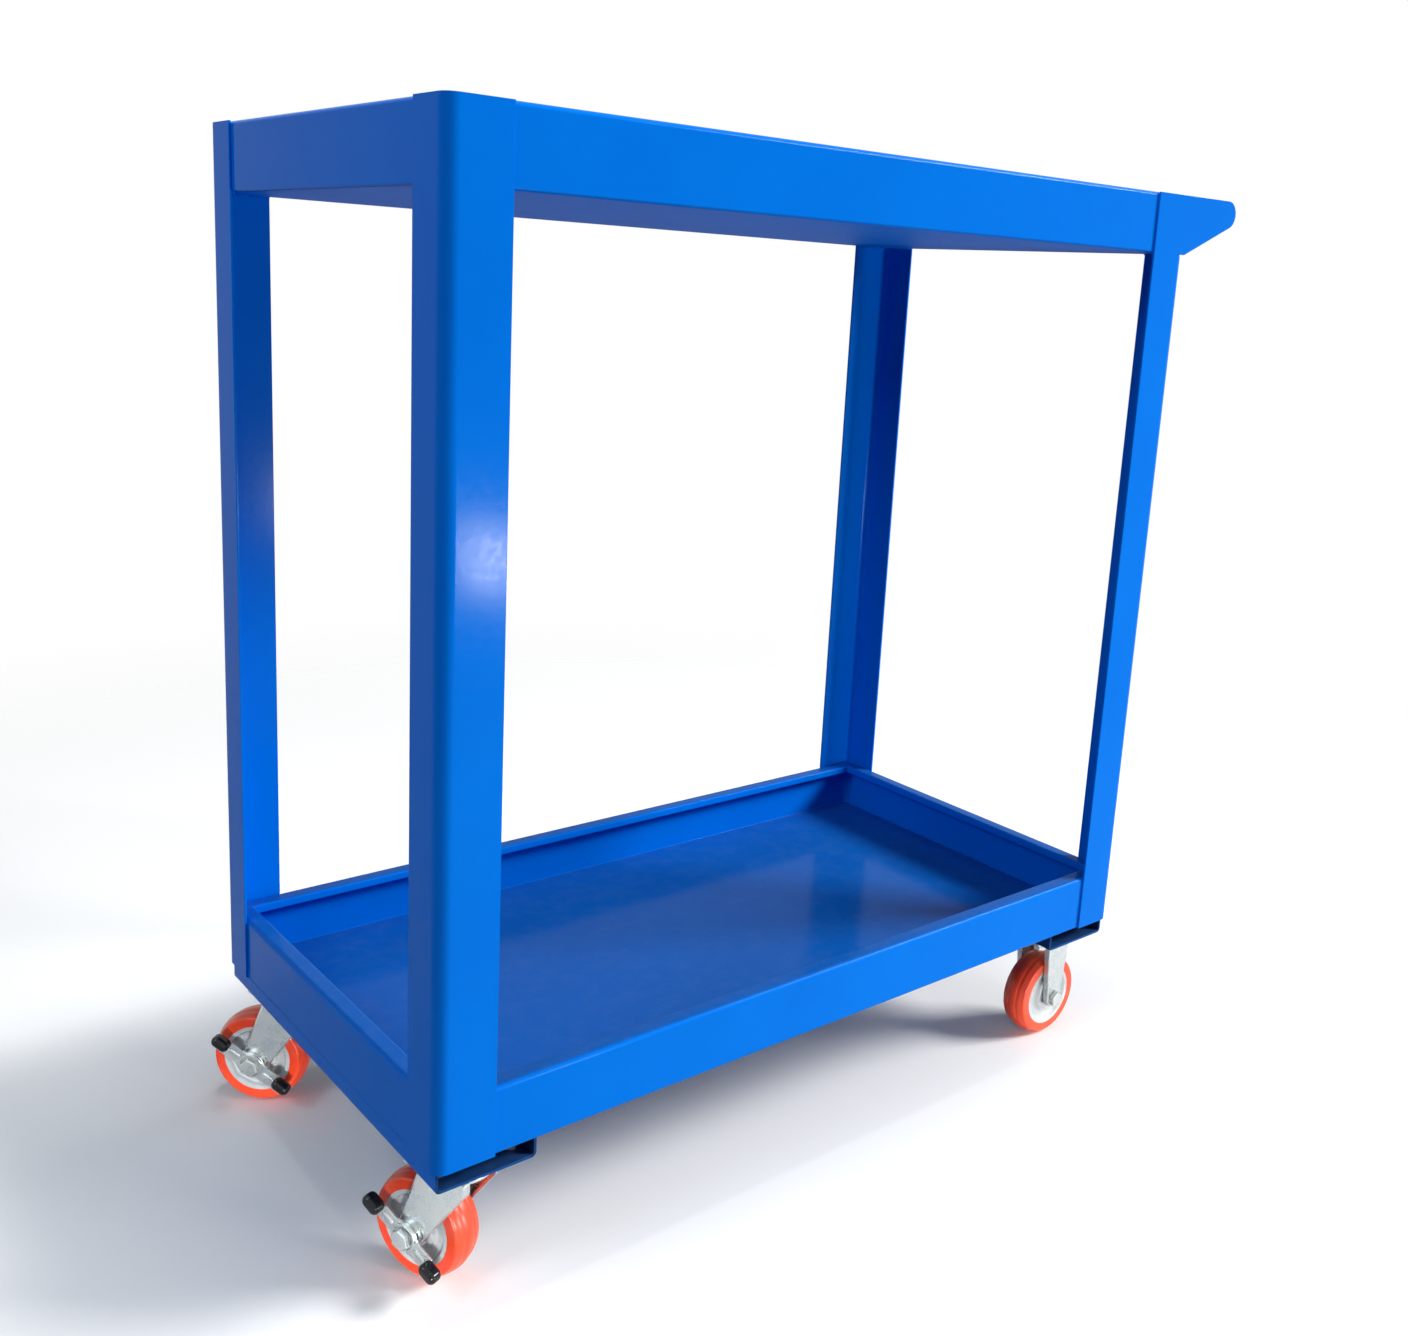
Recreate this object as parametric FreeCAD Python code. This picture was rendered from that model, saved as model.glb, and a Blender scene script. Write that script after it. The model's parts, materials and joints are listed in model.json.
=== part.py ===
import FreeCAD, Part
import math
import os

from FreeCAD import Vector

# Two-tier tool cart: two folded trays welded to four angle legs, with a push bar at the rear end,
# two braked swivel casters at the front end and two rigid casters under the push bar.
# Origin on the floor under the middle of the four legs, +Z up, push bar at the +X (rear) end,
# left side at -Y. Millimetres.

# Driving dimensions of the welded frame
CART_LENGTH = 900.0
CART_WIDTH = 462.0
CART_HEIGHT = 1000.0
LOWER_RIM_HEIGHT = 216.0
TRAY_DEPTH = 63.0
TRAY_SHEET = 1.5
TRAY_CORNER_RADIUS = 10.0
TRAY_FLOOR_BEND = 2.5
RIM_LIP = 18.0
RIM_RETURN = 9.0
RIM_BEND = 3.0
LIP_EDGE_ROUND = 1.35
LEG_SHEET = 2.5
LEG_SIDE_FLANGE = 56.0
LEG_END_FLANGE = 50.0
LEG_BEND = 12.0
EAR_REACH = 91.0
EAR_NOSE_RADIUS = 15.0
EAR_KERF = 1.5
HANDLE_DIAMETER = 26.0
HANDLE_WALL = 1.5

# Driving dimensions of the caster channels and their fasteners
CHANNEL_DEPTH = 20.0
CHANNEL_LENGTH = 449.0
CHANNEL_WIDTH = 97.0
CHANNEL_SHEET = 3.0
CHANNEL_BEND = 5.0
CASTER_INSET = 52.0
BOLT_RADIUS = 4.0
BOLT_HOLE_RADIUS = 4.5
BOLT_SPACING_X = 70.0
BOLT_SPACING_Y = 44.0
BOLT_ACROSS_FLATS = 13.0
BOLT_HEAD_HEIGHT = 5.3
BOLT_TIP = 1.4
HEXAGON_TURNED = 0.97
WASHER_RADIUS = 8.0
WASHER_THICKNESS = 1.6
NUT_HEIGHT = 6.5

# Driving dimensions of the casters
WHEEL_RADIUS = 50.0
WHEEL_WIDTH = 32.0
CORE_RADIUS = 36.0
CORE_RIM_WALL = 4.0
CORE_WEB_INSET = 4.0
CORE_DRAFT = 2.0
CORE_BORE = 12.0
TREAD_SHOULDER = 45.5
PLATE_LENGTH = 88.0
PLATE_WIDTH = 64.0
PLATE_THICKNESS = 4.0
PLATE_CORNER = 7.0
SWIVEL_TRAIL = 37.0
FRONT_LEFT_YAW = 111.2
FRONT_RIGHT_YAW = 133.8
FORK_SHEET = 2.5
FORK_OUTER = 25.0
FORK_FLANGE = 7.5
FORK_EDGE_RADIUS = 3.0
SWIVEL_FORK_HALF = 25.2
SWIVEL_FORK_SHOULDER = 12.0
SWIVEL_FORK_CORNER = 3.0
SWIVEL_FORK_FLARE = 5.0
SWIVEL_BOSS_RADIUS = 14.0
RIGID_FORK_HALF = 17.0
RIGID_FORK_SHOULDER = 24.0
RIGID_BOSS_RADIUS = 11.5
CROWN_THICKNESS = 3.5
CROWN_RADIUS = 30.0
KINGPIN_RADIUS = 6.0
KINGPIN_HEAD_RADIUS = 9.0
KINGPIN_HEAD_HEIGHT = 2.3
KINGPIN_NUT_FLATS = 19.0
KINGPIN_NUT_HEIGHT = 7.8
KINGPIN_COLLAR_HEIGHT = 2.0
KINGPIN_COLLAR_RADIUS = 11.8
BALL_RADIUS = 3.0
BALL_CIRCLE = 23.0
BALL_COUNT = 16
BALL_DROP = 1.4
RACE_GAP = 2.8
RACE_HEIGHT = 5.0
RACE_INNER = 16.0
RACE_OUTER = 30.0
AXLE_RADIUS = 5.0
AXLE_FLATS = 17.0
AXLE_HEAD_HEIGHT = 6.4
AXLE_NUT_HEIGHT = 9.0
SLEEVE_RADIUS = 6.0
SLEEVE_BORE = 5.1
SPACER_RADIUS = 8.5
HUB_RADIUS = 20.0
HUB_HALF_LENGTH = 16.8
BEARING_RADIUS = 16.0
BEARING_WIDTH = 10.0
BEARING_RACE_WIDTH = 3.0
SHIELD_DEPTH = 0.8
BRAKE_CAM_RADIUS = 14.0
BRAKE_CAM_THICKNESS = 3.0
BRAKE_CAM_COLLAR = 8.4
BRAKE_SHEET = 2.5
BRAKE_TILT = 33.0
BRAKE_ARM = 45.0
BRAKE_ARM_WIDTH = 17.0
BRAKE_ARM_ROUND = 6.8
BRAKE_TAB_LENGTH = 13.0
BRAKE_TAB_REACH = 13.0
CAP_WALL = 3.4
CAP_LENGTH = 13.5
CAP_EDGE_ROUND = 3.6

# Clearances: turning shafts, pieces that pass each other, and pieces that are only placed together
RUNNING = 0.05
PASSING = 0.3
LOOSE = 0.1

# Heights and places worked out from the driving dimensions
UPPER_FLOOR = CART_HEIGHT - TRAY_DEPTH
LOWER_FLOOR = LOWER_RIM_HEIGHT - TRAY_DEPTH
PLATE_TOP = LOWER_FLOOR - CHANNEL_DEPTH
PLATE_BOTTOM = PLATE_TOP - PLATE_THICKNESS
TRAY_LENGTH = CART_LENGTH - 2 * LEG_SHEET
TRAY_WIDTH = CART_WIDTH - 2 * LEG_SHEET
RACE_BOTTOM = PLATE_BOTTOM - RACE_HEIGHT
BALL_CENTRE = RACE_BOTTOM - BALL_DROP
CROWN_TOP = RACE_BOTTOM - RACE_GAP
CROWN_BOTTOM = CROWN_TOP - CROWN_THICKNESS
KINGPIN_NUT_TOP = CROWN_BOTTOM - PASSING
FORK_INNER = FORK_OUTER - FORK_SHEET
AXLE_HEIGHT = WHEEL_RADIUS
LEVER_PLANE = FORK_OUTER + BRAKE_CAM_THICKNESS + PASSING
TAB_MIDDLE = BRAKE_ARM - BRAKE_TAB_LENGTH / 2
CASTER_PLACES = {
    "front_left": (-1, -1),
    "front_right": (-1, 1),
    "rear_left": (1, -1),
    "rear_right": (1, 1),
}
FRONT_YAW = {"front_left": FRONT_LEFT_YAW, "front_right": FRONT_RIGHT_YAW}
REAR_YAW = {"rear_left": 180.0, "rear_right": 0.0}
X_AXIS = Vector(1, 0, 0)
Y_AXIS = Vector(0, 1, 0)
Z_AXIS = Vector(0, 0, 1)
ORIGIN = Vector(0, 0, 0)


def caster_centre(name):
    """Plan position of a caster's mounting plate centre."""
    end, side = CASTER_PLACES[name]
    x = end * (CART_LENGTH / 2 - CASTER_INSET)
    y = side * (CART_WIDTH / 2 - CASTER_INSET)
    return x, y


def line(a, b):
    return Part.LineSegment(a, b).toShape()


def arc(a, through, b):
    return Part.Arc(a, through, b).toShape()


def face_of(edges):
    return Part.Face(Part.Wire(edges))


def polygon(points):
    return Part.Face(Part.makePolygon(points + [points[0]]))


def rounded_block(length, width, low, high, radius):
    """A block centred on the Z axis, with its four upright edges rounded."""
    block = Part.makeBox(length, width, high - low, Vector(-length / 2, -width / 2, low))
    upright = [e for e in block.Edges if abs(e.tangentAt(e.FirstParameter).z) > 0.99]
    return block.makeFillet(radius, upright)


def edges_at(shape, height):
    """The edges of a shape that lie wholly at one height."""
    found = []
    for edge in shape.Edges:
        box = edge.BoundBox
        if abs(box.ZMin - height) < 1e-6 and abs(box.ZMax - height) < 1e-6:
            found.append(edge)
    return found


def lengthwise(edges):
    """The edges that run along Y."""
    return [e for e in edges if abs(e.tangentAt(e.FirstParameter).y) > 0.99]


def tube(outer, inner, start, length, direction):
    return Part.makeCylinder(outer, length, start, direction).cut(
        Part.makeCylinder(inner, length, start, direction)
    )


def hexagon(across_flats, start, length, direction):
    """A hexagonal prism along Y or Z, with its corners turned off at both ends."""
    radius = across_flats / math.sqrt(3)
    turned = across_flats / 2 * HEXAGON_TURNED
    spread = turned + length * math.sqrt(3)
    points = []
    for k in range(6):
        a = math.radians(60 * k)
        if direction == Z_AXIS:
            points.append(start + Vector(radius * math.cos(a), radius * math.sin(a), 0))
        else:
            points.append(start + Vector(radius * math.cos(a), 0, radius * math.sin(a)))
    prism = polygon(points).extrude(direction * length)
    far = start + direction * length
    near_cone = Part.makeCone(turned, spread, length, start, direction)
    far_cone = Part.makeCone(turned, spread, length, far, direction * -1)
    return prism.common(near_cone).common(far_cone)


def along_y(profile):
    """Turn a face drawn in the XY plane (X outwards, Y along the axle) about the Y axis."""
    return profile.revolve(ORIGIN, Y_AXIS, 360)


def moved(shape, x, y, yaw=0.0):
    """A copy of a shape turned about Z and put at a plan position."""
    copy = shape.copy()
    copy.rotate(ORIGIN, Z_AXIS, yaw)
    copy.translate(Vector(x, y, 0))
    return copy


def tray(floor):
    """Folded pan: floor, four skirts, an in-turned lip and its down-turned edge."""
    rim = floor + TRAY_DEPTH
    outer = rounded_block(TRAY_LENGTH, TRAY_WIDTH, floor, rim, TRAY_CORNER_RADIUS)
    outer = outer.makeFillet(TRAY_FLOOR_BEND, edges_at(outer, floor))
    outer = outer.makeFillet(RIM_BEND, edges_at(outer, rim))
    inner = rounded_block(
        TRAY_LENGTH - 2 * TRAY_SHEET,
        TRAY_WIDTH - 2 * TRAY_SHEET,
        floor + TRAY_SHEET,
        rim - TRAY_SHEET,
        TRAY_CORNER_RADIUS - TRAY_SHEET,
    )
    inner = inner.makeFillet(TRAY_FLOOR_BEND - TRAY_SHEET, edges_at(inner, floor + TRAY_SHEET))
    inner = inner.makeFillet(RIM_BEND - TRAY_SHEET, edges_at(inner, rim - TRAY_SHEET))
    mouth_length = TRAY_LENGTH - 2 * RIM_LIP
    mouth_width = TRAY_WIDTH - 2 * RIM_LIP
    return_edge = rounded_block(
        mouth_length + 2 * TRAY_SHEET, mouth_width + 2 * TRAY_SHEET,
        rim - RIM_RETURN, rim - TRAY_SHEET / 2, RIM_BEND + TRAY_SHEET,
    )
    mouth = rounded_block(mouth_length, mouth_width, rim - TRAY_DEPTH / 2, rim + 1, RIM_BEND)
    pan = outer.cut(inner).fuse(return_edge).cut(mouth).removeSplitter()
    lip_edges = []
    for edge in edges_at(pan, rim):
        middle = edge.valueAt((edge.FirstParameter + edge.LastParameter) / 2)
        if abs(middle.x) < mouth_length / 2 + 0.1 and abs(middle.y) < mouth_width / 2 + 0.1:
            lip_edges.append(edge)
    return pan.makeFillet(LIP_EDGE_ROUND, lip_edges)


def angle_section(height):
    """Section of the folded angle at a height: its corner at the origin, flanges along -X and -Y."""
    t = LEG_SHEET
    bend = LEG_BEND
    inner = bend - t
    outer_mid = bend * (1 - math.sqrt(0.5))
    inner_mid = bend - inner * math.sqrt(0.5)

    def at(x, y):
        return Vector(x, y, height)

    return face_of([
        line(at(-LEG_SIDE_FLANGE, 0), at(-bend, 0)),
        arc(at(-bend, 0), at(-outer_mid, -outer_mid), at(0, -bend)),
        line(at(0, -bend), at(0, -LEG_END_FLANGE)),
        line(at(0, -LEG_END_FLANGE), at(-t, -LEG_END_FLANGE)),
        line(at(-t, -LEG_END_FLANGE), at(-t, -bend)),
        arc(at(-t, -bend), at(-inner_mid, -inner_mid), at(-bend, -t)),
        line(at(-bend, -t), at(-LEG_SIDE_FLANGE, -t)),
        line(at(-LEG_SIDE_FLANGE, -t), at(-LEG_SIDE_FLANGE, 0)),
    ])


def tangent_point(point, centre, radius, turn):
    """Where a line from a point touches a circle in the XZ plane; turn picks the side."""
    to_point = point - centre
    distance = math.hypot(to_point.x, to_point.z)
    base = math.atan2(to_point.z, to_point.x)
    swing = turn * math.acos(radius / distance)
    return centre + Vector(radius * math.cos(base + swing), 0, radius * math.sin(base + swing))


def ear_lower_edge():
    """The two ends of the ear's sloping lower edge, and the centre of its nose."""
    nose = Vector(EAR_REACH - EAR_NOSE_RADIUS, 0, CART_HEIGHT - EAR_NOSE_RADIUS)
    root = Vector(0, 0, UPPER_FLOOR)
    return root, tangent_point(root, nose, EAR_NOSE_RADIUS, 1), nose


def ear_plate():
    """Upper end of a rear leg's side flange: a flat plate that runs on into a round-nosed ear."""
    root, touch, nose = ear_lower_edge()
    edge = Vector(-LEG_SIDE_FLANGE, 0, UPPER_FLOOR)
    corner = Vector(-LEG_SIDE_FLANGE, 0, CART_HEIGHT)
    top = nose + Vector(0, 0, EAR_NOSE_RADIUS)
    outline = [
        line(edge, corner),
        line(corner, top),
        arc(top, nose + Vector(EAR_NOSE_RADIUS, 0, 0), touch),
        line(touch, root),
        line(root, edge),
    ]
    return face_of(outline).extrude(Vector(0, -LEG_SHEET, 0))


def rear_angle():
    """Folded angle of a rear leg; one cut in the flat sheet parts its end flange from the ear."""
    root, touch, _ = ear_lower_edge()
    slope = (touch.z - root.z) / (touch.x - root.x)
    cut = UPPER_FLOOR - EAR_KERF
    crest = cut + slope * (LEG_END_FLANGE - LEG_BEND)
    waste = polygon([
        Vector(-LEG_BEND, 0, cut),
        Vector(-LEG_BEND, -LEG_BEND, cut),
        Vector(-LEG_BEND, -LEG_END_FLANGE, crest),
        Vector(-LEG_BEND, -LEG_END_FLANGE, CART_HEIGHT),
        Vector(-LEG_BEND, 0, CART_HEIGHT),
    ])
    angle = angle_section(LOWER_FLOOR).extrude(Vector(0, 0, crest - LOWER_FLOOR))
    return angle.cut(waste.extrude(X_AXIS * LEG_BEND))


def leg(end, side):
    """One corner leg, from the underside of the lower tray to the rim of the upper tray."""
    if end > 0:
        shape = rear_angle().fuse(ear_plate()).removeSplitter()
    else:
        shape = angle_section(LOWER_FLOOR).extrude(Vector(0, 0, CART_HEIGHT - LOWER_FLOOR))
        shape = shape.mirror(ORIGIN, X_AXIS)
    if side < 0:
        shape = shape.mirror(ORIGIN, Y_AXIS)
    return moved(shape, end * CART_LENGTH / 2, side * CART_WIDTH / 2)


def handle_bar():
    """Round tube between the inner faces of the two ears, on the centre of their noses."""
    half = CART_WIDTH / 2 - LEG_SHEET
    x = CART_LENGTH / 2 + EAR_REACH - EAR_NOSE_RADIUS
    start = Vector(x, -half, CART_HEIGHT - EAR_NOSE_RADIUS)
    radius = HANDLE_DIAMETER / 2
    return tube(radius, radius - HANDLE_WALL, start, 2 * half, Y_AXIS)


def bolt_places():
    """The four bolt positions about a caster's centre."""
    places = []
    for sx in (-1, 1):
        for sy in (-1, 1):
            places.append((sx * BOLT_SPACING_X / 2, sy * BOLT_SPACING_Y / 2))
    return places


def drill(shape, low, high, middle=0.0):
    """Cut the four bolt holes of a caster through a shape; middle is where the caster is along Y."""
    for x, y in bolt_places():
        hole = Part.makeCylinder(BOLT_HOLE_RADIUS, high - low, Vector(x, middle + y, low))
        shape = shape.cut(hole)
    return shape


def caster_channel():
    """Shallow channel across the cart, web down, whose flanges are welded under the lower tray."""
    half = CHANNEL_WIDTH / 2
    t = CHANNEL_SHEET
    near = -CHANNEL_LENGTH / 2
    hollow_low = PLATE_TOP + t
    block = Part.makeBox(CHANNEL_WIDTH, CHANNEL_LENGTH, CHANNEL_DEPTH, Vector(-half, near, PLATE_TOP))
    hollow = Part.makeBox(
        CHANNEL_WIDTH - 2 * t, CHANNEL_LENGTH, CHANNEL_DEPTH, Vector(-half + t, near, hollow_low)
    )
    block = block.makeFillet(CHANNEL_BEND, lengthwise(edges_at(block, PLATE_TOP)))
    hollow = hollow.makeFillet(CHANNEL_BEND - t, lengthwise(edges_at(hollow, hollow_low)))
    channel = block.cut(hollow)
    for side in (-1, 1):
        channel = drill(channel, PLATE_TOP - 1, hollow_low + 1, side * (CART_WIDTH / 2 - CASTER_INSET))
    return channel


def caster_fasteners():
    """The sixteen bolts, washers and nuts that hold the caster plates to their channels."""
    web_top = PLATE_TOP + CHANNEL_SHEET
    nut_low = web_top + WASHER_THICKNESS
    bolts, washers, nuts = [], [], []
    for name in CASTER_PLACES:
        cx, cy = caster_centre(name)
        for dx, dy in bolt_places():
            base = Vector(cx + dx, cy + dy, PLATE_BOTTOM)
            head = hexagon(BOLT_ACROSS_FLATS, base - Z_AXIS * BOLT_HEAD_HEIGHT, BOLT_HEAD_HEIGHT, Z_AXIS)
            shank_length = nut_low + NUT_HEIGHT + BOLT_TIP - PLATE_BOTTOM
            shank = Part.makeCylinder(BOLT_RADIUS, shank_length, base)
            bolts.append(head.fuse(shank).removeSplitter())
            washer_base = Vector(base.x, base.y, web_top)
            bore = BOLT_RADIUS + LOOSE
            washers.append(tube(WASHER_RADIUS, bore, washer_base, WASHER_THICKNESS, Z_AXIS))
            nut_base = Vector(base.x, base.y, nut_low)
            nut = hexagon(BOLT_ACROSS_FLATS, nut_base, NUT_HEIGHT, Z_AXIS)
            nuts.append(nut.cut(Part.makeCylinder(bore, NUT_HEIGHT, nut_base)))
    return Part.makeCompound(bolts), Part.makeCompound(washers), Part.makeCompound(nuts)


def top_plate():
    """Drilled mounting plate of a caster."""
    plate = rounded_block(PLATE_LENGTH, PLATE_WIDTH, PLATE_BOTTOM, PLATE_TOP, PLATE_CORNER)
    return drill(plate, PLATE_BOTTOM - 1, PLATE_TOP + 1)


def swivel_top_plate():
    """Mounting plate with the upper ball race and the seat of the kingpin's head."""
    race = tube(RACE_OUTER, RACE_INNER, Vector(0, 0, RACE_BOTTOM), RACE_HEIGHT, Z_AXIS)
    groove = Part.makeTorus(BALL_CIRCLE, BALL_RADIUS + RUNNING, Vector(0, 0, BALL_CENTRE))
    plate = top_plate().fuse(race.cut(groove)).removeSplitter()
    shank = Part.makeCylinder(KINGPIN_RADIUS + RUNNING, PLATE_TOP, ORIGIN)
    seat_low = PLATE_TOP - KINGPIN_HEAD_HEIGHT - LOOSE
    seat = Part.makeCylinder(KINGPIN_HEAD_RADIUS + LOOSE, PLATE_TOP, Vector(0, 0, seat_low))
    return plate.cut(shank).cut(seat)


def swivel_balls():
    balls = []
    for k in range(BALL_COUNT):
        a = 2 * math.pi * k / BALL_COUNT
        centre = Vector(BALL_CIRCLE * math.cos(a), BALL_CIRCLE * math.sin(a), BALL_CENTRE)
        balls.append(Part.makeSphere(BALL_RADIUS, centre))
    return Part.makeCompound(balls)


def kingpin():
    """Headed pin that hangs the fork's crown from the mounting plate."""
    low = KINGPIN_NUT_TOP - KINGPIN_NUT_HEIGHT - BOLT_TIP
    head_low = PLATE_TOP - KINGPIN_HEAD_HEIGHT
    shank = Part.makeCylinder(KINGPIN_RADIUS, head_low - low, Vector(0, 0, low))
    head = Part.makeCylinder(KINGPIN_HEAD_RADIUS, KINGPIN_HEAD_HEIGHT - LOOSE, Vector(0, 0, head_low))
    return shank.fuse(head).removeSplitter()


def kingpin_nut():
    """Nut with a thrust collar that carries the crown on the kingpin."""
    low = Vector(0, 0, KINGPIN_NUT_TOP - KINGPIN_NUT_HEIGHT)
    collar_low = Vector(0, 0, KINGPIN_NUT_TOP - KINGPIN_COLLAR_HEIGHT)
    nut = hexagon(KINGPIN_NUT_FLATS, low, KINGPIN_NUT_HEIGHT - KINGPIN_COLLAR_HEIGHT, Z_AXIS)
    collar = Part.makeCylinder(KINGPIN_COLLAR_RADIUS, KINGPIN_COLLAR_HEIGHT, collar_low)
    bore = Part.makeCylinder(KINGPIN_RADIUS + RUNNING, KINGPIN_NUT_HEIGHT, low)
    return nut.fuse(collar).cut(bore).removeSplitter()


def fork_leg(outline_points, boss, boss_radius):
    """Pressed side plate of a fork, with its edge turned in all round towards the wheel.

    outline_points run from the lower left corner, over the top, to the lower right corner, in XZ.
    """
    left = outline_points[0]
    right = outline_points[-1]
    touch_left = tangent_point(left, boss, boss_radius, 1)
    touch_right = tangent_point(right, boss, boss_radius, -1)
    edges = [line(a, b) for a, b in zip(outline_points, outline_points[1:])]
    edges.append(line(right, touch_right))
    away = (boss - (left + right) * 0.5).normalize()
    edges.append(arc(touch_right, boss + away * boss_radius, touch_left))
    edges.append(line(touch_left, left))
    outline = face_of(edges)
    low = FORK_OUTER - FORK_FLANGE
    plate = outline.extrude(Y_AXIS * FORK_FLANGE)
    plate.translate(Y_AXIS * low)
    outer_face_edges = []
    for edge in plate.Edges:
        box = edge.BoundBox
        if abs(box.YMin - FORK_OUTER) < 1e-6 and abs(box.YMax - FORK_OUTER) < 1e-6:
            outer_face_edges.append(edge)
    plate = plate.makeFillet(FORK_EDGE_RADIUS, outer_face_edges)
    recess = outline.makeOffset2D(-FORK_SHEET).extrude(Y_AXIS * (FORK_FLANGE - FORK_SHEET))
    recess.translate(Y_AXIS * low)
    return plate.cut(recess)


def fork(crown, outline_points, boss, boss_radius):
    """A crown with a pressed leg on each side and the axle's holes."""
    side_plate = fork_leg(outline_points, boss, boss_radius)
    whole = crown.fuse([side_plate, side_plate.mirror(ORIGIN, Y_AXIS)]).removeSplitter()
    start = Vector(boss.x, -2 * FORK_OUTER, boss.z)
    return whole.cut(Part.makeCylinder(AXLE_RADIUS + LOOSE, 4 * FORK_OUTER, start, Y_AXIS))


def swivel_fork():
    """Fork that trails behind its kingpin, with the lower ball race in its crown."""
    crown = Part.makeCylinder(CROWN_RADIUS, CROWN_THICKNESS, Vector(0, 0, CROWN_BOTTOM))
    groove = Part.makeTorus(BALL_CIRCLE, BALL_RADIUS + PASSING, Vector(0, 0, BALL_CENTRE))
    bore = Part.makeCylinder(KINGPIN_RADIUS + RUNNING, CART_HEIGHT, ORIGIN)
    half = SWIVEL_FORK_HALF
    boss = Vector(SWIVEL_TRAIL, 0, AXLE_HEIGHT)
    shoulder = CROWN_TOP - SWIVEL_FORK_SHOULDER
    outline = [
        Vector(-half, 0, shoulder),
        Vector(-half, 0, CROWN_TOP - SWIVEL_FORK_CORNER),
        Vector(-half + SWIVEL_FORK_CORNER, 0, CROWN_TOP),
        Vector(half, 0, CROWN_TOP),
        Vector(half + SWIVEL_FORK_FLARE, 0, shoulder),
    ]
    return fork(crown, outline, boss, SWIVEL_BOSS_RADIUS).cut(groove).cut(bore)


def rigid_fork():
    """Fork welded under its mounting plate, with the axle straight below the plate's centre."""
    half = RIGID_FORK_HALF
    crown = Part.makeBox(
        2 * half, 2 * FORK_OUTER - 2 * FORK_EDGE_RADIUS, CROWN_THICKNESS,
        Vector(-half, -FORK_OUTER + FORK_EDGE_RADIUS, PLATE_BOTTOM - CROWN_THICKNESS),
    )
    boss = Vector(0, 0, AXLE_HEIGHT)
    shoulder = PLATE_BOTTOM - RIGID_FORK_SHOULDER
    outline = [
        Vector(-half, 0, shoulder),
        Vector(-half, 0, PLATE_BOTTOM),
        Vector(half, 0, PLATE_BOTTOM),
        Vector(half, 0, shoulder),
    ]
    return fork(crown, outline, boss, RIGID_BOSS_RADIUS)


def at_axle(shape, trail):
    """Put a shape made about the Y axis at a wheel's axle."""
    copy = shape.copy()
    copy.translate(Vector(trail, 0, AXLE_HEIGHT))
    return copy


def axle_bolt(head_seat):
    """Hexagon bolt along Y: its head sits at head_seat, its thread passes the far leg's nut."""
    thread_end = -FORK_OUTER - AXLE_NUT_HEIGHT - BOLT_TIP
    shank = Part.makeCylinder(AXLE_RADIUS, head_seat - thread_end, Vector(0, thread_end, 0), Y_AXIS)
    head = hexagon(AXLE_FLATS, Vector(0, head_seat, 0), AXLE_HEAD_HEIGHT, Y_AXIS)
    return shank.fuse(head).removeSplitter()


def axle_nut():
    start = Vector(0, -FORK_OUTER - AXLE_NUT_HEIGHT, 0)
    nut = hexagon(AXLE_FLATS, start, AXLE_NUT_HEIGHT, Y_AXIS)
    return nut.cut(Part.makeCylinder(AXLE_RADIUS + RUNNING, AXLE_NUT_HEIGHT, start, Y_AXIS))


def axle_sleeve():
    """Tube that the bearings turn on, clamped between the fork's legs by the axle bolt."""
    return tube(SLEEVE_RADIUS, SLEEVE_BORE, Vector(0, -FORK_INNER, 0), 2 * FORK_INNER, Y_AXIS)


def axle_spacers():
    """A thick washer on the sleeve at each side, between the wheel's hub and the fork."""
    low = HUB_HALF_LENGTH + PASSING
    one = tube(SPACER_RADIUS, SLEEVE_RADIUS + LOOSE, Vector(0, low, 0), FORK_INNER - low, Y_AXIS)
    return Part.makeCompound([one, one.mirror(ORIGIN, Y_AXIS)])


def tyre():
    """Polyurethane tread with a crowned running face."""
    half = WHEEL_WIDTH / 2
    profile = face_of([
        line(Vector(CORE_RADIUS, -half, 0), Vector(TREAD_SHOULDER, -half, 0)),
        arc(Vector(TREAD_SHOULDER, -half, 0), Vector(WHEEL_RADIUS, 0, 0), Vector(TREAD_SHOULDER, half, 0)),
        line(Vector(TREAD_SHOULDER, half, 0), Vector(CORE_RADIUS, half, 0)),
        line(Vector(CORE_RADIUS, half, 0), Vector(CORE_RADIUS, -half, 0)),
    ])
    return along_y(profile)


def wheel_core():
    """Grey core: rim under the tread, dished web, and a hub with a pocket for each bearing."""
    half = WHEEL_WIDTH / 2
    rim = CORE_RADIUS - CORE_RIM_WALL
    web_half = half - CORE_WEB_INSET
    hub = HUB_HALF_LENGTH
    pocket = hub - BEARING_WIDTH
    side = [
        (CORE_BORE, pocket), (BEARING_RADIUS, pocket), (BEARING_RADIUS, hub), (HUB_RADIUS, hub),
        (HUB_RADIUS + CORE_DRAFT, web_half), (rim - CORE_DRAFT, web_half), (rim, half), (CORE_RADIUS, half),
    ]
    points = [Vector(r, y, 0) for r, y in side]
    points += [Vector(r, -y, 0) for r, y in reversed(side)]
    return along_y(polygon(points))


def wheel_bearings():
    """Two shielded ball bearings, shown as rings with the shield set back between the races."""
    low = HUB_HALF_LENGTH - BEARING_WIDTH
    shield_inner = SLEEVE_RADIUS + BEARING_RACE_WIDTH
    shield_outer = BEARING_RADIUS - BEARING_RACE_WIDTH
    ring = tube(BEARING_RADIUS, SLEEVE_RADIUS + RUNNING, Vector(0, low, 0), BEARING_WIDTH, Y_AXIS)
    for start in (low, HUB_HALF_LENGTH - SHIELD_DEPTH):
        ring = ring.cut(tube(shield_outer, shield_inner, Vector(0, start, 0), SHIELD_DEPTH, Y_AXIS))
    return Part.makeCompound([ring, ring.mirror(ORIGIN, Y_AXIS)])


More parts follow.
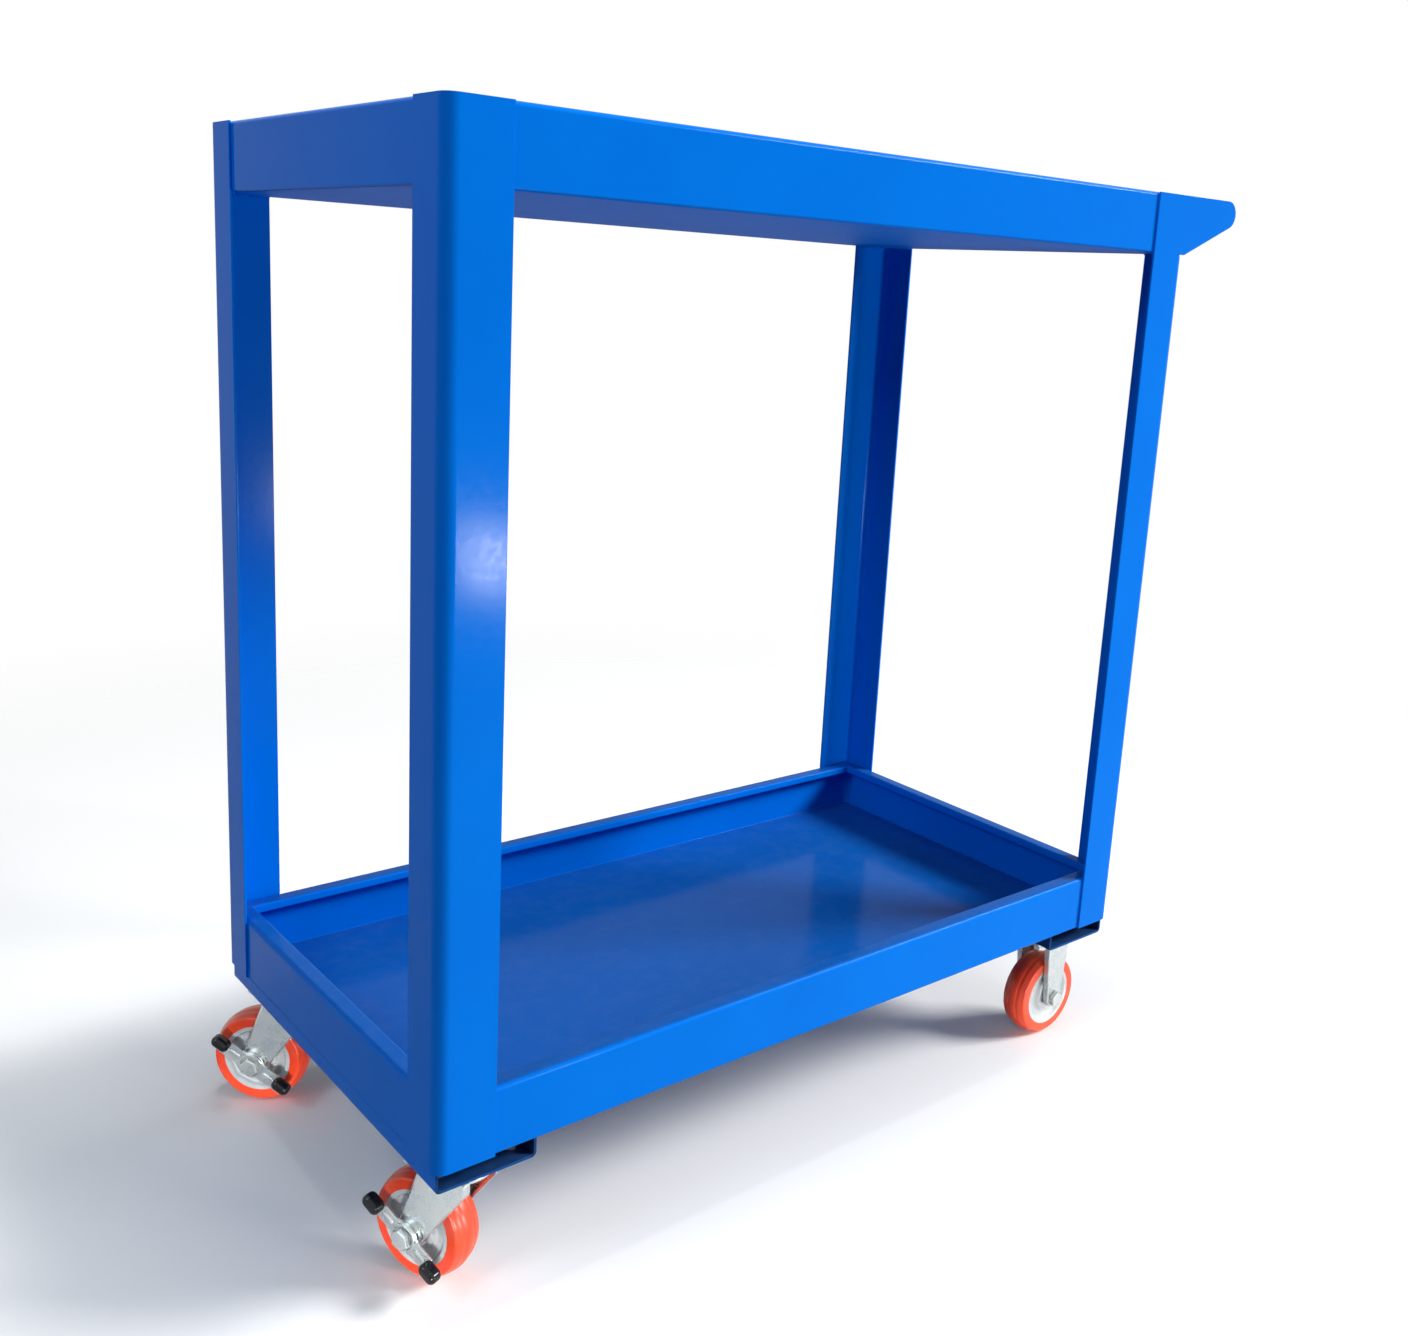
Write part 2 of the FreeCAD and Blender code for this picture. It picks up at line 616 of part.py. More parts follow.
def brake_cam():
    """Stepped ring fixed to the fork, which the lever's cam climbs."""
    cam = tube(BRAKE_CAM_RADIUS, AXLE_RADIUS + LOOSE, Vector(0, FORK_OUTER, 0), BRAKE_CAM_THICKNESS, Y_AXIS)
    notch = Part.makeBox(
        2 * BRAKE_CAM_RADIUS, BRAKE_CAM_THICKNESS / 2, BRAKE_CAM_RADIUS,
        Vector(-BRAKE_CAM_RADIUS, FORK_OUTER + BRAKE_CAM_THICKNESS / 2, -BRAKE_CAM_RADIUS / 2),
    )
    collar = Part.makeCylinder(BRAKE_CAM_COLLAR, 2 * FORK_OUTER, ORIGIN, Y_AXIS)
    return cam.cut(notch.cut(collar))


def brake_lever():
    """Stamped rocker on the axle: two arms, each with a pedal tab turned outwards along its top edge."""
    near = LEVER_PLANE
    half_width = BRAKE_ARM_WIDTH / 2
    arm = Part.makeBox(
        2 * BRAKE_ARM, BRAKE_SHEET, BRAKE_ARM_WIDTH, Vector(-BRAKE_ARM, near, -half_width)
    )
    low_corners = [e for e in lengthwise(arm.Edges) if e.BoundBox.ZMax < 0]
    arm = arm.makeFillet(BRAKE_ARM_ROUND, low_corners)
    eye = Part.makeCylinder(BRAKE_CAM_RADIUS, BRAKE_SHEET, Vector(0, near, 0), Y_AXIS)
    lever = arm.fuse(eye)
    for middle in (-TAB_MIDDLE, TAB_MIDDLE):
        tab = Part.makeBox(
            BRAKE_TAB_LENGTH, BRAKE_TAB_REACH, BRAKE_SHEET,
            Vector(middle - BRAKE_TAB_LENGTH / 2, near, half_width - BRAKE_SHEET),
        )
        lever = lever.fuse(tab)
    lever = lever.removeSplitter()
    lever = lever.cut(Part.makeCylinder(AXLE_RADIUS + RUNNING, 4 * FORK_OUTER, ORIGIN, Y_AXIS))
    lever.rotate(ORIGIN, Y_AXIS, -BRAKE_TILT)
    return lever


def brake_caps():
    """Black dipped sleeves over the two pedal tabs."""
    near = LEVER_PLANE
    tab_middle = BRAKE_ARM_WIDTH / 2 - BRAKE_SHEET / 2
    length = BRAKE_TAB_LENGTH + 2 * CAP_WALL
    thickness = BRAKE_SHEET + 2 * CAP_WALL
    end = near + BRAKE_TAB_REACH + CAP_WALL
    caps = []
    for middle in (-TAB_MIDDLE, TAB_MIDDLE):
        cap = Part.makeBox(
            length, CAP_LENGTH, thickness,
            Vector(middle - length / 2, end - CAP_LENGTH, tab_middle - thickness / 2),
        )
        cap = cap.makeFillet(CAP_EDGE_ROUND, cap.Edges)
        slot = Part.makeBox(
            BRAKE_TAB_LENGTH + LOOSE, BRAKE_TAB_REACH, BRAKE_SHEET + LOOSE,
            Vector(
                middle - (BRAKE_TAB_LENGTH + LOOSE) / 2, near + LOOSE / 2,
                tab_middle - (BRAKE_SHEET + LOOSE) / 2,
            ),
        )
        caps.append(cap.cut(slot))
    pair = Part.makeCompound(caps)
    pair.rotate(ORIGIN, Y_AXIS, -BRAKE_TILT)
    return pair


def build():
    """Every piece of the cart by its node name."""
    nodes = {"upper_tray": tray(UPPER_FLOOR), "lower_tray": tray(LOWER_FLOOR)}
    for name, (end, side) in CASTER_PLACES.items():
        nodes["leg_" + name] = leg(end, side)
    for name, end in (("front", -1), ("rear", 1)):
        middle = end * (CART_LENGTH / 2 - CASTER_INSET)
        nodes["caster_channel_" + name] = moved(caster_channel(), middle, 0)
    nodes["handle_bar"] = handle_bar()
    bolts, washers, nuts = caster_fasteners()
    nodes["caster_bolts"] = bolts
    nodes["caster_washers"] = washers
    nodes["caster_nuts"] = nuts

    wheel_pieces = {"wheel_core": wheel_core(), "tyre": tyre(), "wheel_bearings": wheel_bearings()}
    brake_head_seat = LEVER_PLANE + BRAKE_SHEET + PASSING
    front_axle_pieces = {
        "axle_bolt": axle_bolt(brake_head_seat),
        "axle_nut": axle_nut(),
        "axle_sleeve": axle_sleeve(),
        "axle_spacers": axle_spacers(),
        "brake_cam": brake_cam(),
        "brake_lever": brake_lever(),
        "brake_caps": brake_caps(),
    }
    for name, yaw in FRONT_YAW.items():
        x, y = caster_centre(name)
        nodes[name + "_top_plate"] = moved(swivel_top_plate(), x, y)
        nodes[name + "_swivel_balls"] = moved(swivel_balls(), x, y)
        nodes[name + "_kingpin"] = moved(kingpin(), x, y)
        nodes[name + "_kingpin_nut"] = moved(kingpin_nut(), x, y)
        nodes[name + "_fork"] = moved(swivel_fork(), x, y, yaw)
        for piece, shape in list(front_axle_pieces.items()) + list(wheel_pieces.items()):
            nodes[name + "_" + piece] = moved(at_axle(shape, SWIVEL_TRAIL), x, y, yaw)

    rear_axle_pieces = {
        "rear_axle_bolts": axle_bolt(FORK_OUTER),
        "rear_axle_nuts": axle_nut(),
        "rear_axle_sleeves": axle_sleeve(),
        "rear_axle_spacers": axle_spacers(),
    }
    groups = {piece: [] for piece in rear_axle_pieces}
    for name, yaw in REAR_YAW.items():
        x, y = caster_centre(name)
        nodes[name + "_top_plate"] = moved(top_plate(), x, y)
        nodes[name + "_fork"] = moved(rigid_fork(), x, y, yaw)
        for piece, shape in wheel_pieces.items():
            nodes[name + "_" + piece] = moved(at_axle(shape, 0), x, y, yaw)
        for piece, shape in rear_axle_pieces.items():
            groups[piece] += moved(at_axle(shape, 0), x, y, yaw).Solids
    for piece, solids in groups.items():
        nodes[piece] = Part.makeCompound(solids)
    return nodes


os.makedirs("parts", exist_ok=True)
pieces = build()
for node_name, piece_shape in pieces.items():
    piece_shape.exportStep("parts/" + node_name + ".step")
whole = Part.makeCompound(list(pieces.values())).optimalBoundingBox(False)
print(len(pieces), "nodes; box X", round(whole.XMin, 1), round(whole.XMax, 1), "Y", round(whole.YMin, 1),
      round(whole.YMax, 1), "Z", round(whole.ZMin, 1), round(whole.ZMax, 1))
for node_name, piece_shape in pieces.items():
    if not piece_shape.isValid():
        print("not valid:", node_name)
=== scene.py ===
import json
import math

import bmesh
import bpy
from mathutils import Matrix, Vector


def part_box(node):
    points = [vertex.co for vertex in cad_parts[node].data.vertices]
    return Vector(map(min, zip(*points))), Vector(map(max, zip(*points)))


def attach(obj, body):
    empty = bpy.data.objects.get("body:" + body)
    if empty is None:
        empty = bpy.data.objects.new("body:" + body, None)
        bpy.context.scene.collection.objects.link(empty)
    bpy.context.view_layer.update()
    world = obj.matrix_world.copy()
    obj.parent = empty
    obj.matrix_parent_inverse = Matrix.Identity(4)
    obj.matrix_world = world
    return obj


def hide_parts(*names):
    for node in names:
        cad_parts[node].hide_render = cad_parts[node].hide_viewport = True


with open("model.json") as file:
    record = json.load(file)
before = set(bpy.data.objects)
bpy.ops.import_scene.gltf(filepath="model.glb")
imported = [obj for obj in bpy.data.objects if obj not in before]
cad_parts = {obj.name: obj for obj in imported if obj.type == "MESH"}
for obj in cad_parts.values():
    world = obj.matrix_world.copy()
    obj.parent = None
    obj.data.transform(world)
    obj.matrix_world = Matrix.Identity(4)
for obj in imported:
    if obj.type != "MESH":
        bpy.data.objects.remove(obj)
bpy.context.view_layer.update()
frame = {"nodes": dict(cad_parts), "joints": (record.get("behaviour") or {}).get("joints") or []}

# Trays
# Two shallow pans folded from 1.5 mm sheet steel: a flat floor, four skirts, and a rim that turns in and
# then down again. The corners are welded and ground, and the whole frame is powder coated in gloss blue.
tray_sheet = 0.0015
tray_floor_bend = 0.0025
tray_corner = 0.010
corner_steps = 6
smallest_corner = 0.0008
floor_margin = 0.06
rim_bend = 0.0045
rim_lip = 0.018
rim_return = 0.009
lip_bend = 0.0025
lip_edge_round = 0.000675
mitre_groove = 0.00025
hair = 1e-6
merge_distance = 1e-7
coat_blue = (0.0, 0.160, 0.710)
coat_blue_thin = (0.0, 0.182, 0.770)
coat_dust = (0.30, 0.36, 0.48)
# painted shade: the darker blue that upward faces and the channels' marked faces are mixed towards
coat_painted_shade = (0.012, 0.035, 0.09)
coat_roughness = (0.10, 0.16)
# how far painted shade darkens faces that look upwards
upward_painted_shade = 0.42
dust_dulling = 1.2
dry_dulling = 0.45
faces_up = (0.6, 0.98)
faces_down = (-0.7, -0.98)
dust_patch = (0.45, 0.75)


def feed(tree, made, sockets):
    """Give a node's inputs, by name or index, their values or the outputs that are linked to them."""
    for key, value in sockets.items():
        if isinstance(value, bpy.types.NodeSocket):
            tree.links.new(value, made.inputs[key])
        else:
            made.inputs[key].default_value = value


def node(tree, kind, sockets=None, **settings):
    """Add a node with its settings and its inputs."""
    made = tree.nodes.new(kind)
    for key, value in settings.items():
        setattr(made, key, value)
    feed(tree, made, sockets or {})
    return made


def maths(tree, operation, *terms, **settings):
    """The output of one step of arithmetic on numbers or outputs."""
    return node(tree, "ShaderNodeMath", dict(enumerate(terms)), operation=operation, **settings).outputs[0]


def shader_group(name, inputs, output):
    """An empty shader node group with number inputs and one number output."""
    group = bpy.data.node_groups.new(name, "ShaderNodeTree")
    for label, value in inputs.items():
        socket = group.interface.new_socket(label, in_out="INPUT", socket_type="NodeSocketFloat")
        socket.default_value = value
    group.interface.new_socket(output, in_out="OUTPUT", socket_type="NodeSocketFloat")
    return group, group.nodes.new("NodeGroupInput").outputs, group.nodes.new("NodeGroupOutput").inputs[0]


def noise(group, size, **settings):
    """The output of noise whose grains have a size in metres."""
    place = node(group, "ShaderNodeTexCoord").outputs["Object"]
    scale = maths(group, "DIVIDE", 1.0, size)
    return node(group, "ShaderNodeTexNoise", {"Vector": place, "Scale": scale, **settings}).outputs[0]


def facing(tree, low, high):
    """The output of a mask that goes from 0 to 1 as the upward part of the normal goes from low to high."""
    normal = node(tree, "ShaderNodeNewGeometry").outputs["Normal"]
    upward = node(tree, "ShaderNodeSeparateXYZ", {0: normal}).outputs["Z"]
    return node(tree, "ShaderNodeMapRange", {"Value": upward, "From Min": low, "From Max": high}).outputs[0]


def mottle_group():
    """Slow, cloudy change over a surface, from 0 to 1: Size is the width of one cloud in metres."""
    group, given, out = shader_group("surface_mottle", {"Size": 0.05, "Contrast": 0.5}, "Mottle")
    cloud = noise(group, given["Size"], Detail=4.0, Roughness=0.6)
    centred = maths(group, "SUBTRACT", cloud, 0.5)
    spread = maths(group, "MULTIPLY", given["Contrast"], 4.0)
    group.links.new(maths(group, "MULTIPLY_ADD", centred, spread, 0.5, use_clamp=True), out)
    return group


def ripple_group():
    """Height of a moulded or sprayed skin, in metres: fine dimples on the slow waves of the sheet below."""
    inputs = {"Dimple Size": 0.002, "Dimple Depth": 0.00001, "Wave Size": 0.15, "Wave Depth": 0.0001}
    group, given, out = shader_group("skin_ripple", inputs, "Height")
    heights = []
    for name, detail in (("Dimple", 1.0), ("Wave", 0.0)):
        swell = noise(group, given[name + " Size"], Detail=detail)
        heights.append(maths(group, "MULTIPLY", swell, given[name + " Depth"]))
    group.links.new(maths(group, "ADD", *heights), out)
    return group


def dust_group():
    """Where fine dust settles, from 0 to 1: broken patches on faces that look upwards."""
    group, given, out = shader_group("settled_dust", {"Amount": 0.5, "Size": 0.03}, "Dust")
    speck = noise(group, given["Size"], Detail=8.0, Roughness=0.7)
    low, high = dust_patch
    patch = node(group, "ShaderNodeMapRange", {"Value": speck, "From Min": low, "From Max": high}).outputs[0]
    settled = maths(group, "MULTIPLY", facing(group, *faces_up), patch)
    group.links.new(maths(group, "MULTIPLY", settled, given["Amount"]), out)
    return group


surface_mottle = mottle_group()
skin_ripple = ripple_group()
settled_dust = dust_group()


def mixed_colour(tree, mask, first, second):
    """The output of a colour that goes from first to second as the mask goes from 0 to 1."""
    ends = [value if isinstance(value, bpy.types.NodeSocket) else (*value, 1.0) for value in (first, second)]
    return node(tree, "ShaderNodeMix", {0: mask, 6: ends[0], 7: ends[1]}, data_type="RGBA").outputs[2]


def ranged(tree, mask, low, high):
    """The output of a number that goes from low to high as the mask goes from 0 to 1."""
    return node(tree, "ShaderNodeMapRange", {"Value": mask, "To Min": low, "To Max": high}).outputs[0]


def bumped(tree, height):
    """The output of a normal bent by a height in metres."""
    return node(tree, "ShaderNodeBump", {"Strength": 1.0, "Distance": 1.0, "Height": height}).outputs[0]


def effect(tree, group, **values):
    """The output of one of the shared effects, placed in a material with its own values."""
    named = {key.replace("_", " ").title(): value for key, value in values.items()}
    return node(tree, "ShaderNodeGroup", named, node_tree=group).outputs[0]


def new_finish(name):
    """A new material, its node tree and its shader."""
    material = bpy.data.materials.new(name)
    material.use_nodes = True
    return material, material.node_tree, material.node_tree.nodes["Principled BSDF"]


def powder_coat():
    """Gloss powder coat: orange peel on slightly wavy sheet, painted shade on upward faces and on marked
    faces, fine dust on top, dry underneath.
    """
    material, tree, paint = new_finish("blue_powder_coat")
    cloud = effect(tree, surface_mottle, size=0.19, contrast=0.5)
    grain = effect(tree, surface_mottle, size=0.006, contrast=0.6)
    dust = effect(tree, settled_dust, amount=0.05, size=0.02)
    peel = effect(
        tree, skin_ripple, dimple_size=0.0030, dimple_depth=0.00002, wave_size=0.17, wave_depth=0.0004
    )
    blue = mixed_colour(tree, cloud, coat_blue, coat_blue_thin)
    # Painted shade: faces that look upwards, and faces marked in the channels, are darkened towards the shade
    # blue.
    upward_shade = maths(tree, "MULTIPLY", facing(tree, *faces_up), upward_painted_shade)
    painted_shade = node(tree, "ShaderNodeAttribute", attribute_name="painted_shade").outputs["Fac"]
    shaded_blue = mixed_colour(tree, maths(tree, "MAXIMUM", upward_shade, painted_shade), blue, coat_painted_shade)
    dusted = maths(tree, "MULTIPLY_ADD", dust, dust_dulling, ranged(tree, grain, *coat_roughness))
    feed(tree, paint, {
        "Base Color": mixed_colour(tree, dust, shaded_blue, coat_dust),
        "Roughness": maths(tree, "MULTIPLY_ADD", facing(tree, *faces_down), dry_dulling, dusted),
        "Normal": bumped(tree, peel),
        "IOR": 1.5,
        "Specular IOR Level": 0.025,
    })
    return material


def arc_points(centre, radius, start, end, steps):
    """Points of an arc in a plane, both ends included; angles in degrees."""
    points = []
    for k in range(steps + 1):
        a = math.radians(start + (end - start) * k / steps)
        points.append((centre[0] + radius * math.cos(a), centre[1] + radius * math.sin(a)))
    return points


def rounded_ring(half_length, half_width, radius, inset):
    """Points of a rectangle with round corners, drawn in by an inset, anticlockwise from the first corner."""
    points = []
    tight = max(radius - inset, smallest_corner)
    for quarter, (sx, sy) in enumerate(((1, 1), (-1, 1), (-1, -1), (1, -1))):
        centre = (sx * (half_length - inset - tight), sy * (half_width - inset - tight))
        points += arc_points(centre, tight, 90 * quarter, 90 * quarter + 90, corner_steps)
    return points


def bands(rings, ring):
    """Faces of a closed shape made of rings of points, with both its ends filled."""
    faces = [tuple(range(ring)), tuple(range((rings - 1) * ring, rings * ring))]
    for i in range(rings - 1):
        for k in range(ring):
            n = (k + 1) % ring
            faces.append((i * ring + k, i * ring + n, (i + 1) * ring + n, (i + 1) * ring + k))
    return faces


def mesh_object(name, vertices, faces, edges=()):
    """A new object in the scene, at the origin, with its place in its mesh."""
    mesh = bpy.data.meshes.new(name)
    mesh.from_pydata(vertices, edges, faces)
    piece = bpy.data.objects.new(name, mesh)
    bpy.context.scene.collection.objects.link(piece)
    return piece


def outward(piece):
    """Merge doubled points of a closed mesh and turn its faces outwards."""
    work = bmesh.new()
    work.from_mesh(piece.data)
    bmesh.ops.remove_doubles(work, verts=work.verts, dist=merge_distance)
    bmesh.ops.recalc_face_normals(work, faces=work.faces)
    work.to_mesh(piece.data)
    work.free()


def apply_modifiers(piece):
    """Carry out a piece's modifiers and keep the result as its plain mesh."""
    graph = bpy.context.evaluated_depsgraph_get()
    plain = bpy.data.meshes.new_from_object(piece.evaluated_get(graph))
    plain.name = piece.name
    piece.modifiers.clear()
    piece.data = plain


def settle(piece, smooth_angle=40):
    """Make a piece's mesh plain, smooth it up to an angle, and weight its normals by face area."""
    apply_modifiers(piece)
    piece.data.shade_smooth()
    piece.data.set_sharp_from_angle(angle=math.radians(smooth_angle))
    piece.modifiers.new("even_shading", "WEIGHTED_NORMAL").keep_sharp = True
    apply_modifiers(piece)


def fit(piece, material, body, slot, *nodes):
    """Give a finished piece its finish and its place in the frame."""
    piece.data.materials.clear()
    piece.data.materials.append(material)
    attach(piece, body)
    if nodes:
        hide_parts(*nodes)


def pan_section(depth):
    """Section of a pan from the middle of its floor out, round the rim and back: (inset, height)."""
    t = tray_sheet
    edge = lip_edge_round
    low = depth - rim_return
    floor_centre = (tray_floor_bend, tray_floor_bend)
    rim_centre = (rim_bend, depth - rim_bend)
    lip_centre = (rim_lip - lip_bend, depth - lip_bend)
    path = [(floor_margin, t)]
    path += arc_points(floor_centre, tray_floor_bend - t, 270, 180, 6)
    path += arc_points(rim_centre, rim_bend - t, 180, 90, 6)
    path += arc_points(lip_centre, lip_bend - t, 90, 0, 4)
    path += arc_points((rim_lip - t + edge, low + edge), edge, 180, 270, 3)
    path += arc_points((rim_lip - edge, low + edge), edge, 270, 360, 3)
    path += arc_points(lip_centre, lip_bend, 0, 90, 6)
    path += arc_points(rim_centre, rim_bend, 90, 180, 8)
    path += arc_points(floor_centre, tray_floor_bend, 180, 270, 6)
    path.append((floor_margin, 0.0))
    return path


def folded_pan(name, cad_node):
    """One tray: its section carried round a rectangle, with the lip's mitres left as fine grooves."""
    low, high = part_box(cad_node)
    depth = high.z - low.z
    section = pan_section(depth)
    vertices = []
    for inset, height in section:
        ring = rounded_ring((high.x - low.x) / 2, (high.y - low.y) / 2, tray_corner, inset)
        on_lip = height > depth - hair
        for k, (x, y) in enumerate(ring):
            on_mitre = k % (corner_steps + 1) == corner_steps // 2
            vertices.append((x, y, low.z + height - (mitre_groove if on_lip and on_mitre else 0.0)))
    pan = mesh_object(name, vertices, bands(len(section), len(ring)))
    outward(pan)
    settle(pan)
    return pan


blue_coat = powder_coat()
for level in ("upper", "lower"):
    fit(folded_pan(level + "_pan", level + "_tray"), blue_coat, "frame", "blue_powder_coat", level + "_tray")

# Legs
# Four angles folded from 2.5 mm sheet, welded to the outside of both trays' corners. On the two rear legs
# the side flange runs on past the corner into a round-nosed ear that carries the push bar; one cut in the
# flat sheet parts the ear from the end flange.
leg_sheet = 0.0025
leg_side_flange = 0.056
leg_end_flange = 0.050
leg_bend = 0.012
leg_edge_round = 0.0006
sharp_from = 50
ear_reach = 0.091
ear_nose = 0.015
ear_kerf = 0.0015


def tangent_angle(point, centre, radius, turn):
    """Angle, in degrees, at which a line from a point touches a circle; turn picks the side."""
    dx = point[0] - centre[0]
    dy = point[1] - centre[1]
    return math.degrees(math.atan2(dy, dx) + turn * math.acos(radius / math.hypot(dx, dy)))


def face_towards(piece, direction):
    """Turn an open sheet's faces the same way, so that its first face looks in a direction."""
    work = bmesh.new()
    work.from_mesh(piece.data)
    bmesh.ops.recalc_face_normals(work, faces=work.faces)
    work.faces.ensure_lookup_table()
    if work.faces[0].normal.dot(direction) < 0:
        bmesh.ops.reverse_faces(work, faces=work.faces)
    work.to_mesh(piece.data)
    work.free()


def thicken(piece, sheet):
    """Give a skin the thickness of its sheet, on the side away from its faces."""
    wall = piece.modifiers.new("sheet", "SOLIDIFY")
    wall.thickness = sheet
    wall.offset = -1
    wall.use_even_offset = True


def round_edges(piece, width, segments=2):
    """Round the sharp edges of a piece."""
    edges = piece.modifiers.new("edges", "BEVEL")
    edges.width = width
    edges.segments = segments
    edges.limit_method = "ANGLE"
    edges.angle_limit = math.radians(sharp_from)


def fold_on(vertices, faces, edge, rows):
    """Carry a sheet on from an edge, given as the numbers of its two points, through rows of two points."""
    for row in rows:
        vertices += row
        far = (len(vertices) - 2, len(vertices) - 1)
        faces.append((edge[0], far[0], far[1], edge[1]))
        edge = far


def folded_leg(name, end, side):
    """The outer skin of one angle, thickened inwards; end and side are the signs of its corner."""
    low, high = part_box("leg_" + name)
    foot = low.z
    head = high.z
    corner_x = low.x if end < 0 else high.x - ear_reach
    corner_y = low.y if side < 0 else high.y
    bend_top = upper_floor - ear_kerf if end > 0 else head
    flange_top = bend_top
    outline = [(-leg_bend, foot), (-leg_bend, bend_top)]
    if end > 0:
        nose = (ear_reach - ear_nose, head - ear_nose)
        root = (0.0, upper_floor)
        touch = tangent_angle(root, nose, ear_nose, 1)
        round_nose = arc_points(nose, ear_nose, touch - 360 if touch > 90 else touch, 90, 20)
        outline += [(-leg_bend, upper_floor), root] + round_nose
        slope = (round_nose[0][1] - upper_floor) / round_nose[0][0]
        flange_top += slope * (leg_end_flange - leg_bend)
    outline += [(-leg_side_flange, head), (-leg_side_flange, foot)]
    vertices = [(x, 0.0, z) for x, z in outline]
    faces = [tuple(range(len(outline)))]
    across = [(x, y, bend_top) for x, y in arc_points((-leg_bend, -leg_bend), leg_bend, 90, 0, 12)[1:]]
    across.append((0.0, -leg_end_flange, flange_top))
    fold_on(vertices, faces, (0, 1), [[(x, y, foot), (x, y, top)] for x, y, top in across])
    placed = [(corner_x + end * x, corner_y + side * y, z) for x, y, z in vertices]
    leg = mesh_object(name + "_angle", placed, faces)
    face_towards(leg, Vector((0, side, 0)))
    thicken(leg, leg_sheet)
    round_edges(leg, leg_edge_round)
    settle(leg)
    return leg


upper_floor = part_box("upper_tray")[0].z
corners = ("front_left", "front_right", "rear_left", "rear_right")
for corner in corners:
    end = -1 if corner.startswith("front") else 1
    side = -1 if corner.endswith("left") else 1
    fit(folded_leg(corner, end, side), blue_coat, "frame", "blue_powder_coat", "leg_" + corner)

# Push bar
# A 26 mm steel tube, cut square and welded between the two ears at hand height, coated with the frame.
bar_radius = 0.013


def geometry_tree(name, inputs):
    """An empty geometry tree with named inputs, given as {name: (socket type, value)}."""
    tree = bpy.data.node_groups.new(name, "GeometryNodeTree")
    tree.interface.new_socket("Geometry", in_out="INPUT", socket_type="NodeSocketGeometry")
    for label, (kind, value) in inputs.items():
        socket = tree.interface.new_socket(label, in_out="INPUT", socket_type="NodeSocket" + kind)
        if value is not None:
            socket.default_value = value
    tree.interface.new_socket("Geometry", in_out="OUTPUT", socket_type="NodeSocketGeometry")
    return tree, tree.nodes.new("NodeGroupInput").outputs, tree.nodes.new("NodeGroupOutput").inputs[0]


def end_tree(tree, given, geometry, out):
    """End a geometry tree: make its instances real and give them their finish."""
    real = node(tree, "GeometryNodeRealizeInstances", {0: geometry}).outputs[0]
    coated = node(tree, "GeometryNodeSetMaterial", {"Geometry": real, "Material": given["Material"]})
    tree.links.new(coated.outputs[0], out)


def grow(piece, tree, values):
    """Run a geometry tree on a piece with its named inputs set, and keep the result as a plain mesh."""
    modifier = piece.modifiers.new(tree.name, "NODES")
    modifier.node_group = tree
    for item in tree.interface.items_tree:
        if item.in_out == "INPUT" and item.name in values:
            modifier[item.identifier] = values[item.name]
    apply_modifiers(piece)


def tube_tree():
    """A round bar along each edge of the piece, with its ends filled."""
    inputs = {"Radius": ("Float", 0.01), "Sides": ("Int", 48), "Material": ("Material", None)}
    tree, given, out = geometry_tree("tube_along_edge", inputs)
    path = node(tree, "GeometryNodeMeshToCurve", {0: given["Geometry"]}).outputs[0]
    ring = node(
        tree, "GeometryNodeCurvePrimitiveCircle", {"Resolution": given["Sides"], "Radius": given["Radius"]}
    ).outputs[0]
    tube = node(tree, "GeometryNodeCurveToMesh", {"Curve": path, "Profile Curve": ring, "Fill Caps": True})
    end_tree(tree, given, tube.outputs[0], out)
    return tree


bar_low, bar_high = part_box("handle_bar")
bar_x = (bar_low.x + bar_high.x) / 2
bar_z = (bar_low.z + bar_high.z) / 2
push_bar = mesh_object("push_bar_tube", [(bar_x, bar_low.y, bar_z), (bar_x, bar_high.y, bar_z)], [], [(0, 1)])
grow(push_bar, tube_tree(), {"Radius": bar_radius, "Sides": 96, "Material": blue_coat})
outward(push_bar)
settle(push_bar)
fit(push_bar, blue_coat, "frame", "blue_powder_coat", "handle_bar")

# Caster channels
# A shallow channel of 3 mm sheet runs across each end of the lower tray, web down and near flush with the
# end skirt. It carries two casters, is welded to the tray along its flanges and is coated with the frame.
channel_sheet = 0.003
channel_bend = 0.005
channel_edge_round = 0.0005
recess_margin = 0.0015
# how far painted shade darkens the channel's inside, and its cut ends and inner flange
painted_shade_inside = 0.9
painted_shade_edge = 0.7


def mark_painted_shade(channel, low, high):
    """Mark where shade is painted: darkest on the channel's inside, less on its cut ends and its inner
    flange.
    """
    marks = channel.data.attributes.new("painted_shade", "FLOAT", "FACE")
    outer_x = high.x if high.x > 0 else low.x
    for face, mark in zip(channel.data.polygons, marks.data):
        centre = face.center
        under = centre.z < low.z + recess_margin
        between = low.x + recess_margin < centre.x < high.x - recess_margin
        cut_end = abs(face.normal.y) > 0.5
        outer_flange = abs(centre.x - outer_x) < recess_margin
        if between and not under:
            mark.value = painted_shade_inside
        elif cut_end or not (outer_flange or under):
            mark.value = painted_shade_edge


def folded_channel(name, cad_node):
    """The outer skin of a channel, thickened inwards."""
    low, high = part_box(cad_node)
    skin = arc_points((low.x + channel_bend, low.z + channel_bend), channel_bend, 180, 270, 6)
    skin += arc_points((high.x - channel_bend, low.z + channel_bend), channel_bend, 270, 360, 6)
    skin = [(low.x, high.z)] + skin + [(high.x, high.z)]
    web = [k for k, (x, z) in enumerate(skin) if z < low.z + hair][0]
    strips = [web] + [k for k in range(len(skin) - 1) if k != web]
    vertices = [(x, y, z) for x, z in skin for y in (low.y, high.y)]
    faces = [(2 * k, 2 * k + 2, 2 * k + 3, 2 * k + 1) for k in strips]
    channel = mesh_object(name, vertices, faces)
    face_towards(channel, Vector((0, 0, -1)))
    thicken(channel, channel_sheet)
    round_edges(channel, channel_edge_round)
    settle(channel)
    mark_painted_shade(channel, low, high)
    return channel


for end_name in ("front", "rear"):
    cad_node = "caster_channel_" + end_name
    fit(folded_channel(end_name + "_channel", cad_node), blue_coat, "frame", "blue_powder_coat", cad_node)

